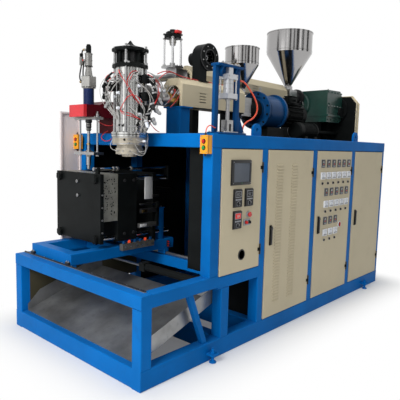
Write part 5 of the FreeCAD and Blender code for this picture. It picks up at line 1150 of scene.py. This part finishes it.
def lift_unit():
    """An open frame of two slim uprights, and the fittings of the air cylinder before them."""
    frame_top = 2338
    piece = Piece("lift_frame")
    for left in (770, 1033):
        piece.add(block((left, 64, 1814), (left + 47, 94, frame_top - 20), 3), LIFT_BLUE)
    piece.add(block((750, 0, 1800), (1100, 120, 1814), 2), LIFT_BLUE)
    piece.add(block((770, 28, frame_top - 20), (1080, 112, frame_top), 3), LIFT_BLUE)
    piece.add(block((817, 70, frame_top - 92), (1033, 88, frame_top - 20), 2), LIFT_BLUE)
    for left in (817, 985):
        web = [(left + 12, 70, frame_top - 92), (left + 12, 34, frame_top - 20),
               (left + 12, 88, frame_top - 20), (left + 12, 88, frame_top - 92)]
        piece.add(extruded(web, (12, 0, 0), 1), LIFT_BLUE)
    for left in (806, 966):
        piece.add(block((left, 24, frame_top - 1), (left + 62, 44, frame_top + 8), 2), STEEL)
        piece.grid(hex_head, (left + 14, left + 48), 34, frame_top + 8, UP, 15, 8)
    gusset = [(1080, 66, 1814), (1160, 66, 1814), (1080, 66, 1960)]
    piece.add(extruded(gusset, (0, 12, 0), 1), LIFT_BLUE)
    for x in (764, 926, 1086):
        piece.add(hex_head((x, 18, 1814), UP, 15, 8), STEEL)
        piece.add(hex_head((x, 104, 1814), UP, 15, 8), STEEL)
    piece.add(block((842, 14, 1814), (1010, 26, 1822), 2), PALE_SHEET)
    piece.done("lift_bracket")

    piece = Piece("lift_cylinder_fittings")
    for x in (873, 977):
        for y in (20, 100):
            for z, along in ((2245, UP), (2078, DOWN)):
                piece.add(hex_head((x, y, z), along, 16, 10), STEEL)
    for z in (2096, 2228):
        piece.add(spun(plug(9, 8, 7, 10, 22), (985, 60, z), REAR, 16), BRASS)
    for z in (2110, 2150, 2190):
        piece.add(spun(collar(40.1, 41.3, 4, 0.6), (925, 60, z), sides=40), STEEL)
    piece.add(spun([(15.4, 0), (24, 0), (24, 10), (20, 14), (15.4, 14)], (925, 60, 2064),
                   sides=32), STEEL)
    piece.done()


# ---------------------------------------------------------------- hoppers and drives

SMALL_Y, SMALL_Z = 752, 2107
MAIN_Y, MAIN_Z = 960, 2253


def hopper_trim(name, x, y, rim_z, rim_radius, wall, cone, outlet_radius):
    """Rolled rim, bottom bead and welded seams."""
    piece = Piece(name)
    lip = [(rim_radius - 1.5, -10), (rim_radius + 3, -8), (rim_radius + 5, -4),
           (rim_radius + 4, 0), (rim_radius, 1.5), (rim_radius - 2, 0)]
    piece.add(spun(lip, (x, y, rim_z), sides=96), STAINLESS)
    low = rim_z - wall
    piece.add(spun([(rim_radius + 0.2, -4), (rim_radius + 3, -2), (rim_radius + 3, 2),
                    (rim_radius + 0.2, 4)], (x, y, low), sides=96), STAINLESS)
    for turn in (-2.0, 0.1, 2.2):
        out = Vector((math.cos(turn), math.sin(turn), 0))
        top, mid = Vector((x, y, rim_z - 10)), Vector((x, y, low))
        foot = Vector((x, y, low - cone))
        piece.add(bar(top + out * (rim_radius + 0.6), mid + out * (rim_radius + 0.6), 1.6, 8),
                  STEEL)
        piece.add(bar(mid + out * (rim_radius + 0.6), foot + out * (outlet_radius + 1), 1.6, 8),
                  STEEL)
    piece.done()


def hoppers():
    hopper_trim("small_hopper_trim", 1985, SMALL_Y, 2721, 174, 150, 196, 30)
    hopper_trim("main_hopper_trim", 3215, MAIN_Y, 3126, 280, 225, 392, 34)


def drives():
    piece = Piece("small_drive_fittings")
    for x, side, radius in ((2236, -1, 178), (2606, 1, 182)):
        for c, s in around(12, 15):
            piece.add(hex_head((x, SMALL_Y + radius * c, SMALL_Z + radius * s), (side, 0, 0), 20,
                               12), BLACK)
    for x, rim in ((2236, 204), (2578, 199)):
        piece.add(spun([(150, 0), (rim - 2, 0), (rim, 2), (rim, 26), (rim - 2, 28), (150, 28)],
                       (x, SMALL_Y, SMALL_Z), REAR, 72), DRIVE)
    for c, s in around(18, 10):
        corners = [(2745, SMALL_Y + r * c - w * s, SMALL_Z + r * s + w * c) for r,
                   w in ((128, -2.5), (128, 2.5), (150, 2.5), (150, -2.5))]
        piece.add(extruded(corners, (330, 0, 0), 1), BLACK)
    piece.add(block((2790, 640, 2225), (2930, 730, 2300), 8, 3), BLACK)
    piece.add(block((2784, 634, 2300), (2936, 736, 2312), 4), BLACK)
    piece.grid(hex_head, (2800, 2920), (650, 720), 2312, UP, 11, 6)
    piece.add(spun([(13, 0), (13, 22), (16, 24), (16, 34), (0, 34)], (2860, 640, 2262), NEAR, 20),
              BLACK)
    ring = [(0, 0), (14, 0), (14, 6), (5, 9), (5, 16), (0, 16)]
    piece.add(spun(ring, (2330, 752, 2306), UP, 16), STEEL)
    piece.done()

    eye = Piece("drive_eyebolt")
    loop = [(2330 + 17 * c, SMALL_Y, 2338 + 17 * s) for c, s in around(40)]
    for start, end in zip(loop, loop[1:] + loop[:1]):
        eye.add(bar(start, end, 5, 10, 0), STEEL)
    eye.done()

    piece = Piece("gearbox_fittings")
    near = 540
    piece.grid(hex_head, (3510, 3600, 3680, 3760, 3850), near, (2082, 2424), NEAR, 18, 9,
               finish=GREEN)
    piece.add(block((3474, near - 8, 2240), (3886, near + 4, 2262), 3), GREEN)
    piece.grid(hex_head, (3500, 3580, 3660, 3740, 3820), near - 8, 2251, NEAR, 14, 9)
    piece.add(spun([(0, 0), (70, 0), (70, 10), (60, 16), (60, 22), (0, 26)], (3840, near, 2180),
                   NEAR, 48), BLACK)
    piece.add(spun(plug(18, 5, 14, 8, 14), (3545, near, 2130), NEAR, 24), BRASS)
    for c, s in around(10):
        piece.add(hex_head((3416, MAIN_Y + 92 * c, MAIN_Z + 92 * s), FRONT, 18, 11), STEEL)
    piece.add(spun([(112.3, 3), (115, 4), (115, 28), (112.3, 29)], (3416, MAIN_Y, MAIN_Z), REAR,
                   64), STEEL)
    for y in (640, 1160):
        piece.add(spun(plug(16, 8, 8, 12, 26), (3680, y, 2455), UP, 18), STEEL)
    piece.done()

    piece = Piece("belt_guard_rim")
    for y in (356, 916):
        piece.add(block((3926, y, 1812), (3942, y + 8, 2330), 2), CREAM)
    piece.add(block((3926, 430, 2394), (3942, 850, 2402), 2), CREAM)
    piece.grid(hex_head, 3932, (366, 910), (1880, 2040, 2200), FRONT, 13, 7)
    piece.done()


lift_unit()
hoppers()
drives()


# ---------------------------------------------------------------- blow station

BLOW_X, BLOW_Y = 500, 1335
LEFT_HAND = Vector((-0.672, 0.741, 0))
GUIDE_PLACES = (1201, 1469)


def beside_blow(away, z, turn=0):
    """A point beside the blow cylinder, on its left as the photo sees it."""
    out = Matrix.Rotation(math.radians(turn), 3, "Z") @ LEFT_HAND
    return tuple(Vector((BLOW_X, BLOW_Y, z)) + out * away)


def blow_station():
    piece = Piece("blow_station_fittings")
    for z, r, h in ((1936, 56, 10), (2190, 52, 13), (2300, 38.5, 7), (2383, 36, 8),
                    (2436, 34.5, 6), (2492, 36, 8)):
        piece.add(spun([(r - 6, 0), (r - 1, 0), (r, 1), (r, h - 1), (r - 1, h), (r - 6, h)],
                       (BLOW_X, BLOW_Y, z), sides=48), BLACK if z in (1936, 2383) else ALLOY)
    for c, s in around(6, 30):
        spot = (BLOW_X + 56 * c, BLOW_Y + 56 * s)
        piece.add(socket_bolt((*spot, 2293), UP, 8), STEEL)
        piece.add(socket_bolt((*spot, 2204), DOWN, 7), STEEL)
    for away, z, ring in ((36, 2440, BUTTON_RED), (30, 2532, BRASS), (60, 2250, BRASS)):
        start, out = beside_blow(away - 8, z), LEFT_HAND
        piece.add(spun(plug(11, 16, 8, 19, 30), start, out, 18), ALLOY)
        piece.add(spun([(8, 19), (10.5, 20), (10.5, 26), (8, 27)], start, out, 18), ring)
    piece.add(block((BLOW_X - 58, BLOW_Y + 34, 2395), (BLOW_X - 30, BLOW_Y + 62, 2470), 4), ALLOY)
    piece.add(block((BLOW_X - 56, BLOW_Y + 36, 2470), (BLOW_X - 32, BLOW_Y + 60, 2500), 3), BLACK)
    for y in GUIDE_PLACES:
        piece.add(spun([(9.8, 0), (22, 0), (22, 8), (16, 12), (16, 30), (9.8, 30)],
                       (BLOW_X, y, 1935), sides=28), STEEL)
        piece.grid(socket_bolt, (470, 530), y, 1935, UP, 7)
    piece.add(spun([(15, 0), (30, 0), (30, 22), (24, 28), (24, 70), (20, 76), (20, 100),
                    (15, 100)], (BLOW_X, BLOW_Y, 1915), DOWN, 36), SATIN_BLACK)
    for drop in (34, 52, 80):
        piece.add(spun(collar(23.5, 26, 8), (BLOW_X, BLOW_Y, 1915 - drop), DOWN, 30), ALLOY)
    for x, y in ((702, 1235), (702, 1435), (758, 1235), (758, 1435)):
        piece.add(hex_head((x, y, 2075), UP, 20, 11), STEEL)
    piece.grid(hex_head, 730, 1223, (1850, 1905), NEAR, 22, 12)
    piece.done()

    piece = Piece("blow_pin_fittings", "blow_pin")
    for y in GUIDE_PLACES:
        piece.add(hex_head((BLOW_X, y, 1600), DOWN, 26, 13), STEEL)
        piece.add(hex_head((BLOW_X, y, 1625), UP, 26, 8), STEEL)
    piece.add(hex_head((BLOW_X, BLOW_Y, 1625), UP, 46, 18), ALLOY)
    piece.add(hex_head((BLOW_X, BLOW_Y, 1600), DOWN, 44, 20), ALLOY)
    piece.add(spun(collar(14.4, 19, 13), (BLOW_X, BLOW_Y, 1690), sides=28), BRASS)
    piece.grid(socket_bolt, (462, 538), BLOW_Y, 1625, UP, 7)
    piece.done()

    wires("blow_air_tubes", [
        [beside_blow(56, 2250), beside_blow(84, 2262), beside_blow(80, 2330),
         beside_blow(62, 2400), beside_blow(58, 2470), beside_blow(62, 2530),
         beside_blow(40, 2534)],
        [beside_blow(44, 2236, -50), beside_blow(74, 2240, -45), beside_blow(76, 2310, -30),
         beside_blow(56, 2392, -20), beside_blow(40, 2440, -10)],
    ], 6.5, WIRE_BLACK)
    wires("blow_red_tubes", [
        [(540, 1300, 1926), (560, 1230, 1880), (600, 1180, 1858), (660, 1190, 1866),
         (690, 1232, 1880)],
        [(690, 1300, 1822), (640, 1340, 1790), (630, 1330, 1740), (660, 1290, 1722),
         (700, 1250, 1740), (696, 1226, 1790), (697, 1240, 1822)],
    ], 4, WIRE_RED)


# ---------------------------------------------------------------- mould, clamp and carriage

MULTIPLIER, MODULUS = 16807, 2147483647


def pits(piece, low, high, count, seed):
    """Small dark machining marks and plugged bores over the near face of a mould half."""
    spread = seed
    for _ in range(count):
        spread = spread * MULTIPLIER % MODULUS
        x = low[0] + (high[0] - low[0]) * (spread % 1000) / 1000
        spread = spread * MULTIPLIER % MODULUS
        z = low[1] + (high[1] - low[1]) * (spread % 1000) / 1000
        radius = 3.5 + spread % 5
        piece.add(spun([(0, 0), (radius, 0), (radius * 0.8, 1.2), (0, 1.2)], (x, 1015.2, z), NEAR,
                       10), BLACK)


def mould_fittings():
    piece = Piece("front_mould_fittings", "front_clamp")
    pits(piece, (424, 1075), (492, 1400), 30, 4021)
    for y, z in ((1328, 1362), (1321, 1236)):
        piece.add(socket_bolt((380, y, z), FRONT, 15), STEEL)
    for y in (1055, 1615):
        for z in (865, 1395):
            piece.add(hex_head((381, y, z), FRONT, 62, 14), BLACK)
            piece.add(spun([(0, 14), (25, 14), (22, 22), (0, 22)], (381, y, z), FRONT, 28), BLACK)
    piece.grid(socket_bolt, 398, 990, (930, 1040, 1150, 1260), NEAR, 8)
    piece.add(block((384, 1034, 1436), (412, 1076, 1496), 4), BLACK)
    piece.add(bar((366, 1055, 1482), (1236, 1055, 1482), 11, 24), BRIGHT)
    piece.add(hex_head((366, 1055, 1482), FRONT, 30, 14), STEEL)
    piece.add(block((1208, 1024, 1364), (1234, 1086, 1500), 4), BLACK)
    for x in (560, 600, 760):
        piece.add(spun(collar(11, 19, 18), (x, 1055, 1482), REAR, 24), ALLOY)
    piece.done()

    piece = Piece("rear_mould_fittings", "rear_clamp")
    pits(piece, (508, 1075), (578, 1400), 30, 907)
    piece.grid(hex_head, (640, 745), 990, (900, 1380), NEAR, 26, 12, finish=SATIN_BLACK)
    piece.done()

    piece = Piece("carriage_fittings", "carriage")
    for k in range(6):
        x = 640 + 64 * k
        piece.add(spun([(0, 0), (8.6, 0), (8.6, 9), (15, 10), (15, 22), (12, 25), (12, 34),
                        (0, 34)], (x, 993, 796), UP, 20), HOSE if k in (1, 4) else DRIVE)
        piece.add(spun(disc(8, 4), (x, 970, 775), NEAR, 16), STEEL)
    for low, high, finish in (((858, 960, 1200), (952, 972, 1407), PALE_SHEET),
                              ((944, 960, 1215), (1040, 990.5, 1238), STEEL),
                              ((944, 960, 1368), (1040, 990.5, 1391), STEEL),
                              ((800, 962, 1148), (1040, 978, 1162), STEEL),
                              ((812, 958, 1070), (1040, 984, 1112), SATIN_BLACK),
                              ((820, 952, 1078), (884, 959, 1104), BRASS),
                              ((790, 960, 936), (1040, 984, 978), ALLOY),
                              ((800, 954, 944), (880, 961, 970), PALE_SHEET),
                              ((1004, 958, 930), (1038, 991, 1170), BLACK)):
        piece.add(block(low, high, 3), finish)
    piece.add(block((1108, 1030, 779), (1168, 1090, 1088), 4), BLUE)
    piece.add(block((1100, 1022, 1088), (1176, 1098, 1098), 3), BLUE)
    piece.grid(hex_head, (1122, 1154), 1060, 1098, UP, 17, 9)
    piece.add(block((1196, 1003, 694), (1218, 1016, 760), 3), SATIN_BLACK)
    for z in (706, 727, 748):
        piece.add(spun(plug(6, 7, 4, 9, 13), (1207, 1003, z), NEAR, 16), BUTTON_RED)
    for y in (1022, 1590):
        piece.add(block((80, y, 693), (106, y + 50, 714), 2), SATIN_BLACK)
        for shift in (12, 38):
            piece.add(spun(plug(7, 4, 4, 6, 13), (92, y + shift, 714), UP, 16), STEEL)
    piece.done()

    # Dark olive sheets inside the far side of the low frame; their dark colour is painted shade
    # for the shaded inside of the frame between the posts.
    piece = Piece("far_guard_sheets_painted_shade")
    for left, right, low in ((84, 702, 205), (790, 1140, 380)):
        piece.add(block((left, 1667, low), (right, 1669.9, 604), 0.8), SHADE_OLIVE)
        piece.grid(socket_bolt, (left + 8, (left + right) / 2, right - 8), 1667, 592, NEAR, 5)
    piece.add(block((790, 1664, 280), (1360, 1666.9, 518), 0.8), SHADE_OLIVE)
    piece.done()

    piece = Piece("front_rail_strip")
    piece.add(block((78, 60, 679.5), (100, 1760, 684), 1), STEEL)
    piece.add(block((83, 60, 684), (95, 1760, 692), 1), SATIN_BLACK)
    for k in range(12):
        piece.add(socket_bolt((89, 120 + 144 * k, 692), UP, 4), STEEL)
    piece.done()


# ---------------------------------------------------------------- frame and cabinet fixings

def cabinet_fixings():
    piece = Piece("rear_door_seals")
    for y in (829.4, 935.4):
        piece.add(block((3990, y, 158), (4014, y + 5.2, 1682), 1), SATIN_BLACK)
    piece.done()

    piece = Piece("panel_screws")
    far, rear, panel_top = 1774, 4030, 1684
    for left, width, bottom in ((806, 534, 686), (1440, 776, 156), (2316, 776, 156),
                                (3192, 776, 156)):
        for x in (left + 14, left + width / 2, left + width - 14):
            for k in range(5):
                z = bottom + 16 + (panel_top - bottom - 32) * k / 4
                if x == left + width / 2 and 0 < k < 4:
                    continue
                piece.add(hex_head((x, far, z), FAR, 12, 5), STEEL)
    for low in (106, 941):
        for y in (low + 14, low + 361, low + 709):
            for k in range(5):
                if y == low + 361 and 0 < k < 4:
                    continue
                piece.add(hex_head((rear - 5, y, 172 + 374 * k), REAR, 12, 5), STEEL)
    piece.done()


blow_station()
mould_fittings()
cabinet_fixings()


# ---------------------------------------------------------------- extruder front end

def heater_bands():
    """Clamped heaters round the small barrel, their sockets, and the leads to them."""
    piece = Piece("barrel_heaters")
    for start, end, finish in ((722, 800, RINGS), (816, 894, STEEL), (910, 978, BRASS),
                               (996, 1060, BRASS), (1076, 1140, RINGS)):
        piece.add(spun([(55.3, 0), (62, 1), (62, end - start - 1), (55.3, end - start)],
                       (start, SMALL_Y, SMALL_Z), REAR, 56), finish)
        middle = (start + end) / 2
        for lean in (-9, 9):
            piece.add(block((middle + lean - 2, 684, 2118), (middle + lean + 2, 700, 2140), 1),
                      STEEL)
        piece.add(bar((middle - 18, 692, 2130), (middle + 18, 692, 2130), 4, 12), STEEL)
        piece.add(spun(plug(12, 16, 8, 20, 28), (middle, 722, 2160), (0, -0.5, 0.86), 18), DIAL)
    piece.done()
    wires("heater_leads", [
        [(860, 708, 2184), (858, 690, 2212), (820, 668, 2216), (776, 640, 2190),
         (740, 620, 2140)],
        [(944, 708, 2184), (944, 688, 2216), (900, 664, 2226), (840, 640, 2190),
         (770, 620, 2110)],
        [(1028, 708, 2184), (1016, 690, 2210), (980, 672, 2196), (920, 650, 2150),
         (840, 630, 2080), (760, 610, 2040)],
        [(1030, 780, 2190), (1000, 800, 2214), (960, 780, 2222), (900, 720, 2230),
         (820, 660, 2200)],
    ], 3.2, WIRE_WHITE)
    wires("heater_leads_red", [
        [(944, 716, 2184), (960, 690, 2200), (940, 662, 2180), (880, 640, 2120),
         (800, 620, 2060)],
        [(1028, 716, 2184), (1030, 690, 2194), (1000, 668, 2150), (940, 650, 2090),
         (840, 624, 2030)],
        [(700, 640, 2290), (800, 652, 2340), (930, 668, 2330), (1000, 676, 2310),
         (1200, 690, 2306), (1500, 700, 2306), (1860, 700, 2306)],
        [(690, 620, 2240), (790, 640, 2320), (920, 684, 2340), (1010, 700, 2314),
         (1260, 712, 2307), (1600, 716, 2307), (1880, 712, 2306)],
    ], 4, WIRE_RED)


def accumulator():
    """Four posts with a lobed crown over the head block, and the ram between them."""
    x, y, foot, crown = 1180, MAIN_Y, 2425, 2704
    piece = Piece("accumulator_unit")
    piece.add(block((x - 75, y - 75, foot), (x + 75, y + 75, foot + 24), 4), STEEL)
    for dx in (-55, 55):
        for dy in (-55, 55):
            piece.add(bar((x + dx, y + dy, foot + 20), (x + dx, y + dy, crown + 4), 9.5, 20),
                      BRIGHT)
            piece.add(hex_head((x + dx, y + dy, foot + 24), UP, 28, 14), STEEL)
            piece.add(hex_head((x + dx, y + dy, crown), DOWN, 28, 14), STEEL)
            piece.add(hex_head((x + dx, y + dy, crown + 28), UP, 26, 14), SATIN_BLACK)
    piece.add(scalloped([(84, 0, 10), (92, 3, 16), (92, 26, 16), (88, 29, 15)], 4, (x, y, crown)),
              BLACK)
    piece.add(spun([(0, 28), (62, 28), (66, 32), (66, 52), (58, 58), (30, 62), (30, 78), (0, 80)],
                   (x, y, crown), sides=48), BLACK)
    piece.add(block((x - 40, y - 100, crown + 34), (x + 24, y - 60, crown + 62), 5), WIRE_RED)
    piece.add(spun([(0, 0), (30, 0), (34, 4), (34, 40), (28, 46), (28, 62), (17, 66), (0, 66)],
                   (x, y, crown), DOWN, 36), ALLOY)
    piece.add(bar((x, y, foot + 20), (x, y, crown - 60), 13, 24), BRIGHT)
    piece.add(spun([(13, 0), (26, 1), (26, 26), (20, 34), (13, 35)], (x, y, foot + 24), sides=32),
              STEEL)
    for dx in (-62, 0, 62):
        piece.add(socket_bolt((x + dx, y - 66, foot + 24), UP, 7), STEEL)
    piece.done("accumulator_cylinder")


def blower_trim():
    piece = Piece("blower_trim")
    x, y, z = 1395, 677, 2535
    piece.add(spun([(62, 0), (72, 0), (76, 4), (72, 8), (64, 8)], (x, y, z), NEAR, 56),
              SATIN_BLACK)
    for c, s in around(8, 20):
        piece.add(hex_head((x + 98 * c, y, z + 98 * s), NEAR, 12, 6), STEEL)
    piece.add(spun(collar(118, 127, 7), (x, y - 2, z), FAR, 72), SATIN_BLACK)
    piece.done()


heater_bands()
accumulator()
blower_trim()
